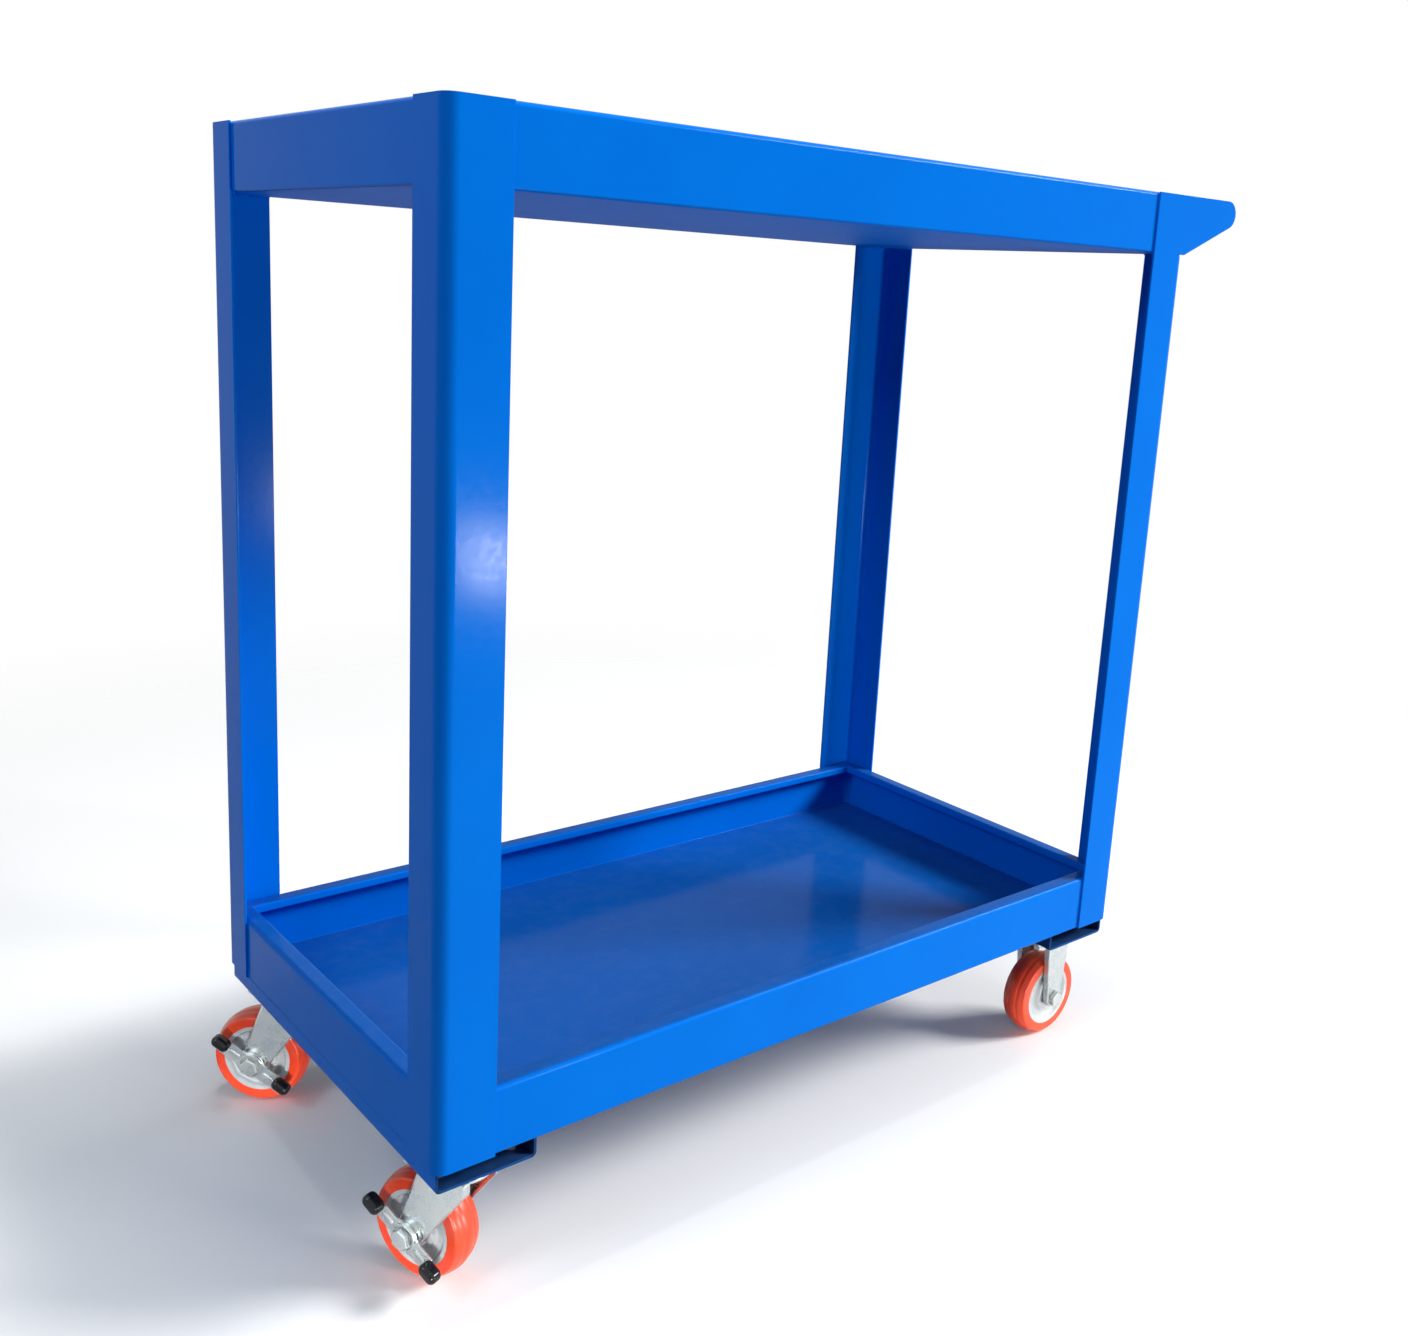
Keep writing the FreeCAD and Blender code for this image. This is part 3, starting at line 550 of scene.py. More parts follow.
# Weld beads
# Stitch welds hold the legs under the upper tray and the channels under the lower tray; a whole seam closes
# each channel's outer edge, fills the cut under each ear and rings the push bar's ends. All are painted over
# with the frame.
bead_radius = 0.0021
bead_pitch = 0.0023
bead_sink = 0.0004
skirt_stitches = ((0.396, 0.412), (0.423, 0.437))
end_stitches = ((0.183, 0.198), (0.206, 0.218))
channel_stitches = ((0.020, 0.060), (0.120, 0.160), (0.185, 0.215))
seam_depth = 0.0010
kerf_run = 0.004
puddle_least = (0.85, 0.85, 0.80)
puddle_most = (1.05, 1.10, 1.05)


def bead_tree():
    """Overlapping puddles along each chain of edges, each turned along the run and a little uneven."""
    inputs = {
        "Radius": ("Float", 0.002), "Pitch": ("Float", 0.002), "Seed": ("Int", 4),
        "Material": ("Material", None),
    }
    tree, given, out = geometry_tree("weld_bead", inputs)
    path = node(tree, "GeometryNodeMeshToCurve", {0: given["Geometry"]}).outputs[0]
    spots = node(tree, "GeometryNodeResampleCurve", {"Curve": path, "Length": given["Pitch"]}, mode="LENGTH")
    tangent = node(tree, "GeometryNodeInputTangent").outputs[0]
    along = node(tree, "FunctionNodeAlignRotationToVector", {"Vector": tangent}, axis="X").outputs[0]
    puddle = node(tree, "GeometryNodeMeshUVSphere", {"Segments": 8, "Rings": 6, "Radius": given["Radius"]})
    uneven = node(
        tree, "FunctionNodeRandomValue",
        {"Min": puddle_least, "Max": puddle_most, "Seed": given["Seed"]},
        data_type="FLOAT_VECTOR",
    ).outputs[0]
    run = node(
        tree, "GeometryNodeInstanceOnPoints",
        {"Points": spots.outputs[0], "Instance": puddle.outputs[0], "Rotation": along, "Scale": uneven},
    )
    end_tree(tree, given, run.outputs[0], out)
    return tree


def weld_runs():
    """The middle line of every bead, as chains of points."""
    runs = []
    tray_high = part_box("upper_tray")[1]
    under = upper_floor + bead_sink
    skirt_y = tray_high.y - tray_sheet
    skirt_x = tray_high.x - tray_sheet
    for side in (-1, 1):
        ring = arc_points((bar_x, bar_z), bar_radius + bead_sink, 0, 360, 36)
        runs.append([(x, side * (bar_high.y - bead_sink), z) for x, z in ring])
        centre = (tray_high.x - tray_corner, tray_high.y - tray_corner)
        kerf = [(tray_high.x, centre[1] - kerf_run)] + arc_points(centre, tray_corner, 0, 90, 12)
        runs.append([(x, side * y, upper_floor - ear_kerf / 2) for x, y in kerf])
        for end in (-1, 1):
            for stitch in skirt_stitches:
                runs.append([(end * x, side * skirt_y, under) for x in stitch])
            for stitch in end_stitches:
                runs.append([(end * skirt_x, side * y, under) for y in stitch])
        for end, end_name in ((-1, "front"), (1, "rear")):
            low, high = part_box("caster_channel_" + end_name)
            outer, inner = (high.x, low.x) if end > 0 else (low.x, high.x)
            runs.append([(outer - end * seam_depth, side * y, high.z + bead_sink) for y in (0.0, high.y)])
            for stitch in channel_stitches:
                runs.append([(inner - end * bead_sink, side * y, high.z - bead_sink) for y in stitch])
    return runs


chain_points = []
chain_edges = []
for run in weld_runs():
    first = len(chain_points)
    chain_points += run
    chain_edges += [(k, k + 1) for k in range(first, len(chain_points) - 1)]
welds = mesh_object("frame_weld_beads", chain_points, [], chain_edges)
grow(welds, bead_tree(), {"Radius": bead_radius, "Pitch": bead_pitch, "Seed": 7, "Material": blue_coat})
settle(welds, smooth_angle=60)
fit(welds, blue_coat, "frame", "blue_powder_coat")

# Caster plates
# Each caster hangs from a zinc-plated steel plate bolted up against its channel. The plates of the two
# swivel casters are pressed down into the upper half of the ball race.
plate_corner = 0.007
plate_edge = 0.0007
plate_thickness = 0.004
race_inner = 0.016
race_outer = 0.030
race_wall = 0.0035
race_flare = 0.002
race_rounds = [0.0006, 0.0014, 0.0018, 0.0, 0.0]
overlap = 0.0002
edge_share = 0.48
zinc_cool = (0.52, 0.57, 0.58)
zinc_warm = (0.60, 0.62, 0.59)
zinc_fleck = (0.74, 0.77, 0.77)
fleck_share = 0.15
zinc_roughness = (0.20, 0.36)
zinc_metal = (0.86, 0.94)


def zinc_plating():
    """Bright zinc on pressed steel: cloudy grey with a faint straw tint, duller in patches."""
    material, tree, metal = new_finish("zinc_plate")
    cloud = effect(tree, surface_mottle, size=0.016, contrast=0.7)
    fleck = effect(tree, surface_mottle, size=0.0022, contrast=0.8)
    press = effect(
        tree, skin_ripple, dimple_size=0.0016, dimple_depth=0.000004, wave_size=0.02, wave_depth=0.00012
    )
    grey = mixed_colour(tree, cloud, zinc_cool, zinc_warm)
    feed(tree, metal, {
        "Base Color": mixed_colour(tree, ranged(tree, fleck, 0.0, fleck_share), grey, zinc_fleck),
        "Roughness": ranged(tree, cloud, *zinc_roughness),
        "Metallic": ranged(tree, fleck, *zinc_metal),
        "Normal": bumped(tree, press),
    })
    return material


def eased(points, rounds, steps=4):
    """A closed outline with its corners rounded; rounds gives each corner its radius."""
    smooth = []
    for k, radius in enumerate(rounds):
        corner = Vector(points[k])
        if radius == 0.0:
            smooth.append(tuple(corner))
            continue
        back = Vector(points[k - 1]) - corner
        ahead = Vector(points[(k + 1) % len(points)]) - corner
        reach = radius / math.tan(back.angle(ahead) / 2)
        start = corner + back.normalized() * min(reach, edge_share * back.length)
        stop = corner + ahead.normalized() * min(reach, edge_share * ahead.length)
        for i in range(steps + 1):
            t = i / steps
            smooth.append(tuple(start * (1 - t) ** 2 + corner * 2 * t * (1 - t) + stop * t ** 2))
    return smooth


def turned(name, section, steps=72):
    """A closed section, given as (radius, height), carried round the Z axis."""
    vertices = []
    for k in range(steps):
        a = 2 * math.pi * k / steps
        vertices += [(r * math.cos(a), r * math.sin(a), h) for r, h in section]
    count = len(section)
    faces = []
    for k in range(steps):
        n = (k + 1) % steps
        for i in range(count):
            j = (i + 1) % count
            faces.append((k * count + i, n * count + i, n * count + j, k * count + j))
    piece = mesh_object(name, vertices, faces)
    outward(piece)
    return piece


def flat_plate(name, length, width, low, high, corner, edge):
    """A flat plate centred on the Z axis, with round corners and broken edges."""
    vertices = []
    for inset, height in ((edge, low), (0.0, low + edge), (0.0, high - edge), (edge, high)):
        vertices += [(x, y, height) for x, y in rounded_ring(length / 2, width / 2, corner, inset)]
    plate = mesh_object(name, vertices, bands(4, len(vertices) // 4))
    outward(plate)
    return plate


def joined(name, pieces):
    """One object made of several pieces, each with its modifiers carried out."""
    work = bmesh.new()
    for piece in pieces:
        apply_modifiers(piece)
        work.from_mesh(piece.data)
        bpy.data.objects.remove(piece)
    whole = mesh_object(name, [], [])
    work.to_mesh(whole.data)
    work.free()
    return whole


zinc = zinc_plating()
for corner in corners:
    low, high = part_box(corner + "_top_plate")
    under = high.z - plate_thickness
    pieces = [flat_plate("plate", high.x - low.x, high.y - low.y, under, high.z, plate_corner, plate_edge)]
    if corner.startswith("front"):
        cup = [
            (race_inner, low.z), (race_outer, low.z), (race_outer, low.z + race_wall),
            (race_outer + race_flare, under + overlap), (race_inner, under + overlap),
        ]
        pieces.append(turned("race", eased(cup, race_rounds)))
    plate = joined(corner + "_mount_plate", pieces)
    plate.data.transform(Matrix.Translation(((low.x + high.x) / 2, (low.y + high.y) / 2, 0.0)))
    settle(plate)
    fit(plate, zinc, "frame", "zinc_plate", corner + "_top_plate")

# Caster bolts
# Four M8 bolts go up through each plate and its channel, with their heads below. A flat washer and a nut
# sit on the channel's web, in the space under the tray.
bolt_across = 0.035
bolt_along = 0.022
bolt_sizes = {
    "Across Flats": 0.013, "Head Height": 0.0053, "Shank Radius": 0.004, "Grip": 0.007,
    "Washer Radius": 0.008, "Washer Thickness": 0.0016, "Nut Height": 0.0065, "Tip": 0.0014, "Seed": 3,
}
hexagon_chamfer = 0.0006
shank_chamfer = 0.0005
washer_chamfer = 0.0002
chamfer_draw = 0.90
upright_from = 0.9


def fastener_tree():
    """A bolt, washer and nut at each point: head below the point, grip above it, washer and nut on top."""
    inputs = {name: ("Float", 0.005) for name in bolt_sizes}
    inputs["Seed"] = ("Int", 1)
    inputs["Material"] = ("Material", None)
    tree, given, out = geometry_tree("bolt_washer_nut", inputs)

    def total(*terms):
        result = terms[0]
        for term in terms[1:]:
            result = maths(tree, "ADD", result, term)
        return result

    def prism(sides, radius, depth, base, chamfer):
        """A prism standing at a height, its two ends drawn in to a chamfer."""
        body = node(
            tree, "GeometryNodeMeshCylinder",
            {"Vertices": sides, "Radius": radius, "Depth": total(depth, -2 * chamfer)},
        ).outputs[0]
        normal = node(tree, "GeometryNodeInputNormal").outputs[0]
        upright = node(tree, "ShaderNodeSeparateXYZ", {0: normal}).outputs[2]
        ends = node(
            tree, "FunctionNodeCompare", {0: maths(tree, "ABSOLUTE", upright), 1: upright_from},
            operation="GREATER_THAN",
        ).outputs[0]
        raised = node(
            tree, "GeometryNodeExtrudeMesh", {"Mesh": body, "Selection": ends, "Offset Scale": chamfer}
        ).outputs
        drawn = node(
            tree, "GeometryNodeScaleElements",
            {"Geometry": raised["Mesh"], "Selection": raised["Top"], "Scale": chamfer_draw},
        ).outputs[0]
        middle = total(base, maths(tree, "MULTIPLY", depth, 0.5))
        lift = node(tree, "ShaderNodeCombineXYZ", {2: middle}).outputs[0]
        return node(tree, "GeometryNodeTransform", {"Geometry": drawn, "Translation": lift}).outputs[0]

    hexagon = maths(tree, "MULTIPLY", given["Across Flats"], 1.0 / math.sqrt(3))
    head_base = maths(tree, "MULTIPLY", given["Head Height"], -1.0)
    nut_base = total(given["Grip"], given["Washer Thickness"])
    shank = total(nut_base, given["Nut Height"], given["Tip"])
    stack = node(tree, "GeometryNodeJoinGeometry")
    for part in (
        prism(6, hexagon, given["Head Height"], head_base, hexagon_chamfer),
        prism(24, given["Shank Radius"], shank, 0.0, shank_chamfer),
        prism(40, given["Washer Radius"], given["Washer Thickness"], given["Grip"], washer_chamfer),
        prism(6, hexagon, given["Nut Height"], nut_base, hexagon_chamfer),
    ):
        tree.links.new(part, stack.inputs[0])
    spin = node(
        tree, "FunctionNodeRandomValue",
        {"Min": (0.0, 0.0, 0.0), "Max": (0.0, 0.0, math.radians(60)), "Seed": given["Seed"]},
        data_type="FLOAT_VECTOR",
    ).outputs[0]
    points = node(tree, "GeometryNodeMeshToPoints", {0: given["Geometry"]}).outputs[0]
    placed = node(
        tree, "GeometryNodeInstanceOnPoints",
        {"Points": points, "Instance": stack.outputs[0], "Rotation": spin},
    ).outputs[0]
    end_tree(tree, given, placed, out)
    return tree


bolt_washer_nut = fastener_tree()
bolt_points = []
for corner in corners:
    low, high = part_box(corner + "_top_plate")
    for dx in (-bolt_across, bolt_across):
        for dy in (-bolt_along, bolt_along):
            x = (low.x + high.x) / 2 + dx
            y = (low.y + high.y) / 2 + dy
            bolt_points.append((x, y, high.z - plate_thickness))
bolts = mesh_object("caster_bolt_sets", bolt_points, [])
grow(bolts, bolt_washer_nut, {**bolt_sizes, "Material": zinc})
settle(bolts, smooth_angle=25)
fit(bolts, zinc, "frame", "zinc_plate", "caster_bolts", "caster_washers", "caster_nuts")

# Caster forks
# Each fork is pressed from zinc-plated sheet: two legs with their edges turned in, joined by a crown. The
# front forks trail behind their kingpins and turn on a ring of balls; the rear forks are fixed to their
# plates.
fork_sheet = 0.0025
fork_outer = 0.025
fork_flange = 0.0075
fork_edge_radius = 0.003
swivel_boss_radius = 0.014
swivel_half = 0.0252
swivel_shoulder = 0.012
swivel_flare = 0.005
swivel_rounds = [0.008, 0.003, 0.004, 0.010]
fixed_boss_radius = 0.0115
fixed_half = 0.017
fixed_shoulder = 0.024
fixed_rounds = [0.012, 0.002, 0.002, 0.012]
fixed_crown_length = 0.033
fixed_crown_width = 0.045
fixed_crown_corner = 0.003
fixed_crown_edge = 0.0005
fixed_crown_gap = 0.0001
crown_thickness = 0.0035
crown_radius = 0.030
crown_round = 0.0012
crown_bore = 0.0061
ball_circle = 0.023
groove_half = 0.0018
groove_depth = 0.0009
axle_height = 0.050
swivel_trail = 0.037
hinges = {joint["name"]: joint for joint in frame["joints"]}


def caster_place(corner):
    """Where a caster's local frame stands: X along the trail, Y along the axle, origin under the kingpin."""
    spin = hinges[corner + "_wheel_spin"]
    if corner.startswith("front"):
        centre = Vector(hinges[corner + "_swivel"]["pos_m"])
        across = Vector(spin["axis"])
    else:
        centre = Vector(spin["pos_m"])
        across = Vector((0.0, math.copysign(1.0, centre.y), 0.0))
    along = across.cross(Vector((0, 0, 1)))
    turn = Matrix((along, across, Vector((0, 0, 1)))).transposed().to_4x4()
    return Matrix.Translation((centre.x, centre.y, 0.0)) @ turn


def fork_leg(side, shoulders, rounds, boss, boss_radius):
    """One pressed leg: its face, drawn from its shoulders down to the round boss, and its turned-in edge."""
    first = tangent_angle(shoulders[-1], boss, boss_radius, -1)
    last = tangent_angle(shoulders[0], boss, boss_radius, 1) - 360
    round_end = arc_points(boss, boss_radius, first, last, 24)
    outline = eased([round_end[-1]] + shoulders + [round_end[0]], [0.0] + rounds + [0.0])
    outline += round_end[1:-1]
    count = len(outline)
    vertices = [(x, side * fork_outer, z) for x, z in outline]
    vertices += [(x, side * (fork_outer - fork_flange), z) for x, z in outline]
    faces = [tuple(range(count))]
    faces += [(k, k + count, (k + 1) % count + count, (k + 1) % count) for k in range(count)]
    leg = mesh_object("leg", vertices, faces)
    face_towards(leg, Vector((0, side, 0)))
    round_edges(leg, fork_edge_radius, segments=4)
    thicken(leg, fork_sheet)
    return leg


def swivel_fork(name, top):
    """A trailing fork with a round crown that carries the lower ball race."""
    low = top - crown_thickness
    shoulder = top - swivel_shoulder
    shoulders = [
        (-swivel_half, shoulder), (-swivel_half, top),
        (swivel_half, top), (swivel_half + swivel_flare, shoulder),
    ]
    disc = [
        (crown_bore, low), (crown_radius, low), (crown_radius, top), (ball_circle + groove_half, top),
        (ball_circle, top - groove_depth), (ball_circle - groove_half, top), (crown_bore, top),
    ]
    crown = turned("crown", eased(disc, [0.0, crown_round, crown_round, 0.0, 0.0, 0.0, 0.0]))
    boss = (swivel_trail, axle_height)
    legs = [fork_leg(side, shoulders, swivel_rounds, boss, swivel_boss_radius) for side in (-1, 1)]
    return joined(name, legs + [crown])


def fixed_fork(name, top):
    """An upright fork whose crown is welded flat against its plate."""
    low = top - fixed_shoulder
    shoulders = [(-fixed_half, low), (-fixed_half, top), (fixed_half, top), (fixed_half, low)]
    crown = flat_plate(
        "crown", fixed_crown_length, fixed_crown_width, top - crown_thickness, top - fixed_crown_gap,
        fixed_crown_corner, fixed_crown_edge,
    )
    boss = (0.0, axle_height)
    legs = [fork_leg(side, shoulders, fixed_rounds, boss, fixed_boss_radius) for side in (-1, 1)]
    return joined(name, legs + [crown])


for corner in corners:
    swivels = corner.startswith("front")
    make = swivel_fork if swivels else fixed_fork
    fork = make(corner + "_pressed_fork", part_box(corner + "_fork")[1].z)
    fork.data.transform(caster_place(corner))
    settle(fork)
    fit(fork, zinc, corner + "_fork" if swivels else "frame", "zinc_plate", corner + "_fork")

# Axles
# An M10 bolt, with a washer and nut at its far end, clamps a sleeve between the legs of each fork. On the
# front casters its head also holds the brake lever on.
axle_sizes = {
    "Across Flats": 0.017, "Head Height": 0.0064, "Shank Radius": 0.005, "Washer Radius": 0.0105,
    "Washer Thickness": 0.001, "Nut Height": 0.0082, "Tip": 0.0012, "Seed": 11,
}
braked_seat = 0.0311


def on_axle(corner, offset=0.0):
    """Where a piece made round the Z axis goes, to lie on a caster's axle at an offset along it."""
    trail = swivel_trail if corner.startswith("front") else 0.0
    lying = Matrix.Rotation(math.radians(90), 4, "X")
    return caster_place(corner) @ Matrix.Translation((trail, offset, axle_height)) @ lying


for corner in corners:
    swivels = corner.startswith("front")
    seat = braked_seat if swivels else fork_outer
    axle = mesh_object(corner + "_axle_bolt_set", [(0.0, 0.0, 0.0)], [])
    grow(axle, bolt_washer_nut, {**axle_sizes, "Grip": seat + fork_outer, "Material": zinc})
    axle.data.transform(on_axle(corner, seat))
    settle(axle, smooth_angle=25)
    if swivels:
        fit(axle, zinc, corner + "_fork", "zinc_plate", corner + "_axle_bolt", corner + "_axle_nut")
    elif corner == "rear_left":
        fit(axle, zinc, "frame", "zinc_plate", "rear_axle_bolts", "rear_axle_nuts")
    else:
        fit(axle, zinc, "frame", "zinc_plate")

# Wheels
# Orange-red polyurethane is cast round a light grey moulded core with a dished web. The tread is crowned,
# with two shallow rings pressed into it, and shielded ball bearings sit in the hub.
wheel_radius = 0.050
wheel_half_width = 0.016
tread_shoulder = 0.0455
shoulder_round = 0.0026
tread_lip = 0.0006
tread_sink = 0.0004
tread_flat = 0.98
tread_steps = 64
core_radius = 0.036
core_profile = [
    (0.0120, 0.0068), (0.0160, 0.0068), (0.0160, 0.0168), (0.0200, 0.0168), (0.0222, 0.0118),
    (0.0298, 0.0118), (0.0320, 0.0158), (core_radius, 0.0160),
]
core_rounds = [0.0, 0.0, 0.0003, 0.0012, 0.0025, 0.0025, 0.0009, 0.0]
ring_depth = 0.00045
ring_place = 0.0058
ring_width = 0.0018
tread_orange = (0.82, 0.066, 0.018)
tread_deep = (0.68, 0.044, 0.013)
tread_dust = (0.62, 0.36, 0.28)
core_grey = (0.39, 0.41, 0.42)
core_light = (0.47, 0.49, 0.50)


def cloudy_finish(name, cloud, colours, roughness, skin=None, dust=None, constants=None):
    """A finish that drifts between two colours, with a rippled skin and settled dust where they are given."""
    material, tree, shader = new_finish(name)
    drift = effect(tree, surface_mottle, **cloud)
    colour = mixed_colour(tree, drift, *colours)
    if dust:
        values, dust_colour = dust
        colour = mixed_colour(tree, effect(tree, settled_dust, **values), colour, dust_colour)
    feed(tree, shader, {"Base Color": colour, "Roughness": ranged(tree, drift, *roughness)})
    if skin:
        feed(tree, shader, {"Normal": bumped(tree, effect(tree, skin_ripple, **skin))})
    feed(tree, shader, constants or {})
    return material


def tread_section():
    """Section of the tread: (radius, place along the axle)."""
    rise = wheel_radius - tread_shoulder
    crown_arc = (wheel_half_width ** 2 + rise ** 2) / (2 * rise)
    flat = wheel_half_width - shoulder_round

    def crown(y):
        return wheel_radius - crown_arc + math.sqrt(crown_arc ** 2 - y ** 2)

    shoulder = arc_points((crown(flat) - shoulder_round, flat), shoulder_round, 8, 90, 8)
    side = shoulder + [(core_radius + tread_lip, wheel_half_width)]
    side.append((core_radius, wheel_half_width - tread_sink))
    section = [(r, -y) for r, y in reversed(side)]
    for k in range(tread_steps + 1):
        y = tread_flat * flat * (2 * k / tread_steps - 1)
        pressed = sum(math.exp(-((y - place) / ring_width) ** 2) for place in (-ring_place, ring_place))
        section.append((crown(y) - ring_depth * pressed, y))
    return section + side


def core_section():
    """Section of the core: hub with a pocket for each bearing, dished web and rim."""
    far_side = [(r, -y) for r, y in reversed(core_profile)]
    return eased(core_profile + far_side, core_rounds + core_rounds[::-1], steps=5)


orange_cast = cloudy_finish(
    "orange_polyurethane", cloud={"size": 0.018, "contrast": 0.5},
    colours=(tread_orange, tread_deep), roughness=(0.26, 0.38),
    skin={"dimple_size": 0.0012, "dimple_depth": 0.000008, "wave_size": 0.02, "wave_depth": 0.00006},
    dust=({"amount": 0.10, "size": 0.006}, tread_dust),
    constants={"Subsurface Weight": 0.12, "Subsurface Radius": (1.0, 0.25, 0.12), "Subsurface Scale": 0.004},
)
grey_moulding = cloudy_finish(
    "grey_core", cloud={"size": 0.012, "contrast": 0.6},
    colours=(core_grey, core_light), roughness=(0.38, 0.52),
    skin={"dimple_size": 0.0007, "dimple_depth": 0.00001, "wave_size": 0.015, "wave_depth": 0.00004},
)
for corner in corners:
    tread = turned(corner + "_tread", tread_section(), steps=144)
    core = turned(corner + "_core", core_section(), steps=96)
    for piece in (tread, core):
        piece.data.transform(on_axle(corner))
        settle(piece, smooth_angle=50)
    fit(tread, orange_cast, corner + "_wheel", "orange_polyurethane", corner + "_tyre")
    fit(core, grey_moulding, corner + "_wheel", "grey_core", corner + "_wheel_core")

# Brake levers
# A stamped, zinc-plated rocker sits on each front axle. A pedal tab is turned outwards at each end of it
# and dipped in black vinyl; stepping on the raised end drives the rocker's cam against the fork.
lever_sheet = 0.0025
lever_face = 0.0308
lever_arm = 0.045
lever_half = 0.0085
lever_eye = 0.014
lever_edge_round = 0.0005
lever_end_round = 0.0068
lever_tilt = 33.0
tab_start = 0.032
tab_bend = 0.0015
tab_reach = 0.0413
tab_under = 0.006
neck_run = 0.003
neck_turn = 8
rib_start = 0.0145
rib_stop = 0.0290
rib_half = 0.0032
rib_height = 0.0011
rib_sink = 0.0001
rib_fall = 84
eye_ring_section = [(0.0104, -0.0005), (0.0136, -0.0005), (0.0128, 0.0011), (0.0111, 0.0011)]
eye_ring_rounds = [0.0, 0.0, 0.0007, 0.0005]
cap_length = 0.0198
cap_depth = 0.0138
cap_thickness = 0.0116
cap_end = 0.0449
cap_corner = 0.0057
cap_round = 0.0046
vinyl_black = (0.005, 0.005, 0.006)
vinyl_worn = (0.010, 0.010, 0.012)
vinyl_dust = (0.18, 0.18, 0.18)


def rocker_plate():
    """The rocker's face with its eye, and the two tabs turned outwards, thickened towards the fork."""
    foot = tab_under - tab_bend
    neck = math.sqrt(lever_eye ** 2 - lever_half ** 2) + neck_run
    eye = math.degrees(math.asin(lever_half / lever_eye)) + neck_turn
    outline = [(-lever_arm, foot), (-tab_start, foot), (-tab_start, lever_half), (-neck, lever_half)]
    outline += arc_points((0.0, 0.0), lever_eye, 180 - eye, eye, 14)
    outline += [(neck, lever_half), (tab_start, lever_half), (tab_start, foot), (lever_arm, foot)]
    right_turn = (lever_arm - lever_end_round, lever_end_round - lever_half)
    outline += arc_points(right_turn, lever_end_round, 0, -90, 8)
    outline.append((neck, -lever_half))
    outline += arc_points((0.0, 0.0), lever_eye, -eye, eye - 180, 14)
    outline.append((-neck, -lever_half))
    outline += arc_points((-right_turn[0], right_turn[1]), lever_end_round, -90, -180, 8)
    vertices = [(x, lever_face, z) for x, z in outline]
    faces = [tuple(range(len(outline)))]
    fold = arc_points((lever_face + tab_bend, foot), tab_bend, 180, 90, 5)[1:] + [(tab_reach, tab_under)]
    for start in (0, outline.index((tab_start, foot))):
        ends = [outline[k][0] for k in (start, start + 1)]
        fold_on(vertices, faces, (start, start + 1), [[(x, y, z) for x in ends] for y, z in fold])
    plate = mesh_object("plate", vertices, faces)
    face_towards(plate, Vector((0, 1, 0)))
    thicken(plate, lever_sheet)
    round_edges(plate, lever_edge_round)
    return plate


def pressed_rib(start, stop):
    """A long low swelling pressed out of the rocker's arm."""
    rows = 7
    around = 28
    vertices = []
    for i in range(rows):
        a = math.radians(rib_fall * i / (rows - 1))
        half = rib_half * math.cos(a)
        y = lever_face - rib_sink + rib_height * math.sin(a)
        for k in range(around):
            b = 2 * math.pi * (k + 0.5) / around
            middle = stop - rib_half if math.cos(b) > 0 else start + rib_half
            vertices.append((middle + half * math.cos(b), y, half * math.sin(b)))
    rib = mesh_object("rib", vertices, bands(rows, around))
    outward(rib)
    return rib


def eye_ring():
    """The raised ring that stiffens the rocker round its axle."""
    ring = turned("ring", eased(eye_ring_section, eye_ring_rounds))
    facing_out = Matrix.Rotation(math.radians(-90), 4, "X")
    ring.data.transform(Matrix.Translation((0.0, lever_face, 0.0)) @ facing_out)
    return ring


def dipped_cap(middle):
    """One vinyl sleeve round a tab, with all its edges drawn round by the dip."""
    centre_z = lever_half - lever_sheet / 2
    quarter = arc_points((0.0, 0.0), cap_round, 0, 90, 8)
    profile = [(cap_round - x, cap_end - cap_depth + cap_round - y) for x, y in reversed(quarter)]
    profile += [(cap_round - x, cap_end - cap_round + y) for x, y in quarter]
    vertices = []
    for inset, y in profile:
        ring = rounded_ring(cap_length / 2, cap_thickness / 2, cap_corner, inset)
        vertices += [(middle + x, y, centre_z + z) for x, z in ring]
    cap = mesh_object("cap", vertices, bands(len(profile), len(vertices) // len(profile)))
    outward(cap)
    return cap


black_vinyl = cloudy_finish(
    "black_vinyl", cloud={"size": 0.007, "contrast": 0.6},
    colours=(vinyl_black, vinyl_worn), roughness=(0.09, 0.17),
    skin={"dimple_size": 0.0014, "dimple_depth": 0.00002, "wave_size": 0.008, "wave_depth": 0.0002},
    dust=({"amount": 0.04, "size": 0.004}, vinyl_dust),
    constants={"Specular IOR Level": 0.30},
)
for corner in ("front_left", "front_right"):
    tilt = Matrix.Rotation(math.radians(-lever_tilt), 4, "Y")
    place = caster_place(corner) @ Matrix.Translation((swivel_trail, 0.0, axle_height)) @ tilt
    ribs = [pressed_rib(rib_start, rib_stop), pressed_rib(-rib_stop, -rib_start)]
    rocker = joined(corner + "_brake_rocker", [rocker_plate(), eye_ring()] + ribs)
    tab_middle = (tab_start + lever_arm) / 2
    caps = joined(corner + "_pedal_caps", [dipped_cap(-tab_middle), dipped_cap(tab_middle)])
    for piece in (rocker, caps):
        piece.data.transform(place)
        settle(piece, smooth_angle=50)
    fit(rocker, zinc, corner + "_brake", "zinc_plate", corner + "_brake_lever")
    fit(caps, black_vinyl, corner + "_brake", "black_vinyl", corner + "_brake_caps")

# Kingpins, balls, sleeves and bearings
# The turned pieces inside each caster keep their machined shapes. Pins, nuts, sleeves, spacers and brake
# cams are zinc plated; the balls and the shielded bearings are ground steel.
steel_bright = (0.58, 0.59, 0.60)
steel_dark = (0.42, 0.43, 0.45)
steel_endings = ("_wheel_bearings", "_swivel_balls")
zinc_endings = ("_kingpin", "_kingpin_nut", "_axle_sleeve", "_axle_sleeves", "_axle_spacers", "_brake_cam")

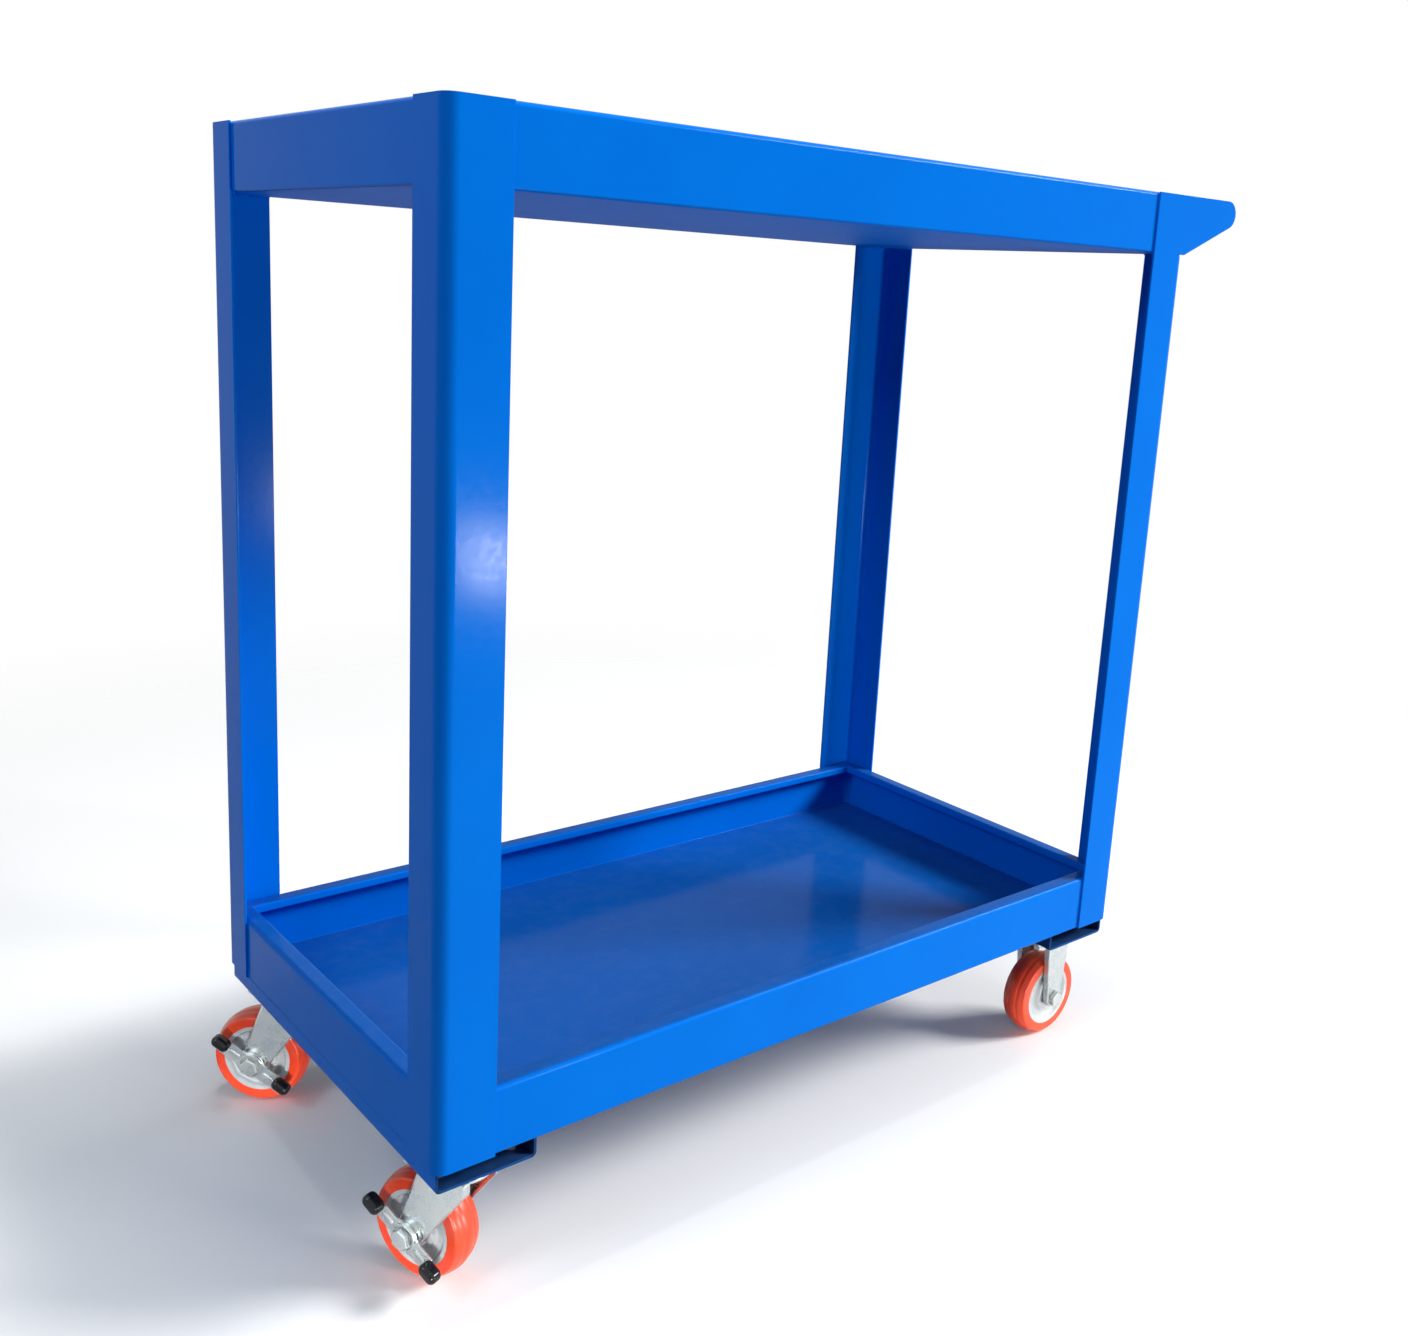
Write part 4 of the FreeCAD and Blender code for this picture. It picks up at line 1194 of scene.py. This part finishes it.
bearing_steel = cloudy_finish(
    "bearing_steel", cloud={"size": 0.004, "contrast": 0.7},
    colours=(steel_bright, steel_dark), roughness=(0.15, 0.32), constants={"Metallic": 1.0},
)
for name, cad_piece in frame["nodes"].items():
    if name.endswith(steel_endings + zinc_endings):
        for material_slot in cad_piece.material_slots:
            material_slot.material = bearing_steel if name.endswith(steel_endings) else zinc

# Studio
# A pale floor that fades into a white surround, soft lamps, and the camera where the photograph was taken.
image_width = 1408
image_height = 1336
focal_pixels = 1420.58
optical_centre = (740.75, 589.82)
camera_place = (-0.9423, -1.1606, 0.8797)
camera_azimuth = math.radians(-40.099)
camera_drop = math.radians(12.128)
camera_roll = math.radians(3.168)
sensor_width = 36.0
white = (1.0, 1.0, 1.0)
dome_base = 0.025
dome_rise = 0.26
dome_tint = (0.80, 0.90, 1.0)
floor_radius = 3.5
floor_pale = (0.95, 0.94, 0.92)
floor_bounce = (0.22, 0.22, 0.22)
fade_start = 0.7
fade_stop = 2.3
camera_data = bpy.data.cameras.new("photo_camera")
camera_data.sensor_width = sensor_width
camera_data.lens = sensor_width * focal_pixels / image_width
camera_data.shift_x = (image_width / 2 - optical_centre[0]) / image_width
camera_data.shift_y = (optical_centre[1] - image_height / 2) / image_width
camera_data.clip_start = 0.01
camera = bpy.data.objects.new("photo_camera", camera_data)
camera.matrix_world = Matrix.Translation(camera_place)
for angle, axis in ((camera_azimuth, "Z"), (math.radians(90) - camera_drop, "X"), (camera_roll, "Z")):
    camera.matrix_world @= Matrix.Rotation(angle, 4, axis)
bpy.context.scene.collection.objects.link(camera)
bpy.context.scene.camera = camera
bpy.context.scene.view_settings.view_transform = "Standard"


def softbox(name, place, aim, size, power, spread=180.0, tint=white):
    """A rectangular lamp that looks at a point; a grid on it narrows its spread, in degrees."""
    lamp = bpy.data.lights.new(name, "AREA")
    lamp.shape = "RECTANGLE"
    lamp.size, lamp.size_y = size
    lamp.energy = power
    lamp.color = tint
    lamp.spread = math.radians(spread)
    stand = bpy.data.objects.new(name, lamp)
    direction = Vector(aim) - Vector(place)
    stand.rotation_euler = direction.to_track_quat("-Z", "Y").to_euler()
    stand.location = place
    bpy.context.scene.collection.objects.link(stand)


softbox("key_softbox", (7.01, -5.09, 5.5), (0.0, 0.0, 0.5), size=(3.6, 2.6), power=1235.0)
softbox(
    "fill_softbox", (-2.70, -0.45, 2.0), (0.0, 0.0, 0.5), size=(1.1, 1.3), power=30.0, tint=(0.72, 0.84, 1.0)
)
softbox("top_softbox", (0.0, 0.0, 3.3), (0.0, 0.0, 0.0), size=(1.2, 0.7), power=44.0)
softbox("low_window", (0.68, -2.1, 0.235), (-0.41, -0.23, 0.68), size=(0.16, 0.14), power=16.0)
softbox("caster_strip", (-0.60, -1.60, 0.06), (0.15, 0.0, -0.06), size=(1.7, 0.08), power=1.9, spread=13.0)

world = bpy.data.worlds.new("white_surround")
world.use_nodes = True
bpy.context.scene.world = world
tree = world.node_tree
surround = tree.nodes["Background"]
rays = node(tree, "ShaderNodeLightPath").outputs
sky = node(tree, "ShaderNodeTexCoord").outputs["Generated"]
height = node(tree, "ShaderNodeSeparateXYZ", {0: sky}).outputs["Z"]
above = maths(tree, "MAXIMUM", height, 0.0)
dome = maths(tree, "MULTIPLY_ADD", maths(tree, "MULTIPLY", above, above), dome_rise, dome_base)
seen = rays["Is Camera Ray"]
for kind in ("Is Glossy Ray", "Is Transmission Ray"):
    seen = maths(tree, "MAXIMUM", seen, rays[kind])
feed(tree, surround, {
    "Color": mixed_colour(tree, seen, dome_tint, white),
    "Strength": node(tree, "ShaderNodeMix", {0: seen, 2: dome, 3: 1.0}).outputs[0],
})

floor_points = arc_points((0.0, 0.0), floor_radius, 0, 360, 96)[:-1]
floor_face = tuple(range(len(floor_points)))
floor = mesh_object("studio_floor", [(x, y, 0.0) for x, y in floor_points], [floor_face])
floor_material, tree, pale = new_finish("pale_floor")
rays = node(tree, "ShaderNodeLightPath").outputs
feed(tree, pale, {
    "Base Color": mixed_colour(tree, rays["Is Diffuse Ray"], floor_pale, floor_bounce),
    "Roughness": 0.8,
    "Specular IOR Level": 0.2,
})
place = node(tree, "ShaderNodeTexCoord").outputs["Object"]
distance = node(tree, "ShaderNodeVectorMath", {0: place}, operation="LENGTH").outputs["Value"]
fade = node(
    tree, "ShaderNodeMapRange", {"Value": distance, "From Min": fade_start, "From Max": fade_stop},
    interpolation_type="SMOOTHSTEP",
).outputs[0]
clear = node(tree, "ShaderNodeBsdfTransparent").outputs[0]
blend = node(tree, "ShaderNodeMixShader", {0: fade, 1: pale.outputs[0], 2: clear})
tree.links.new(blend.outputs[0], tree.nodes["Material Output"].inputs["Surface"])
floor.data.materials.append(floor_material)
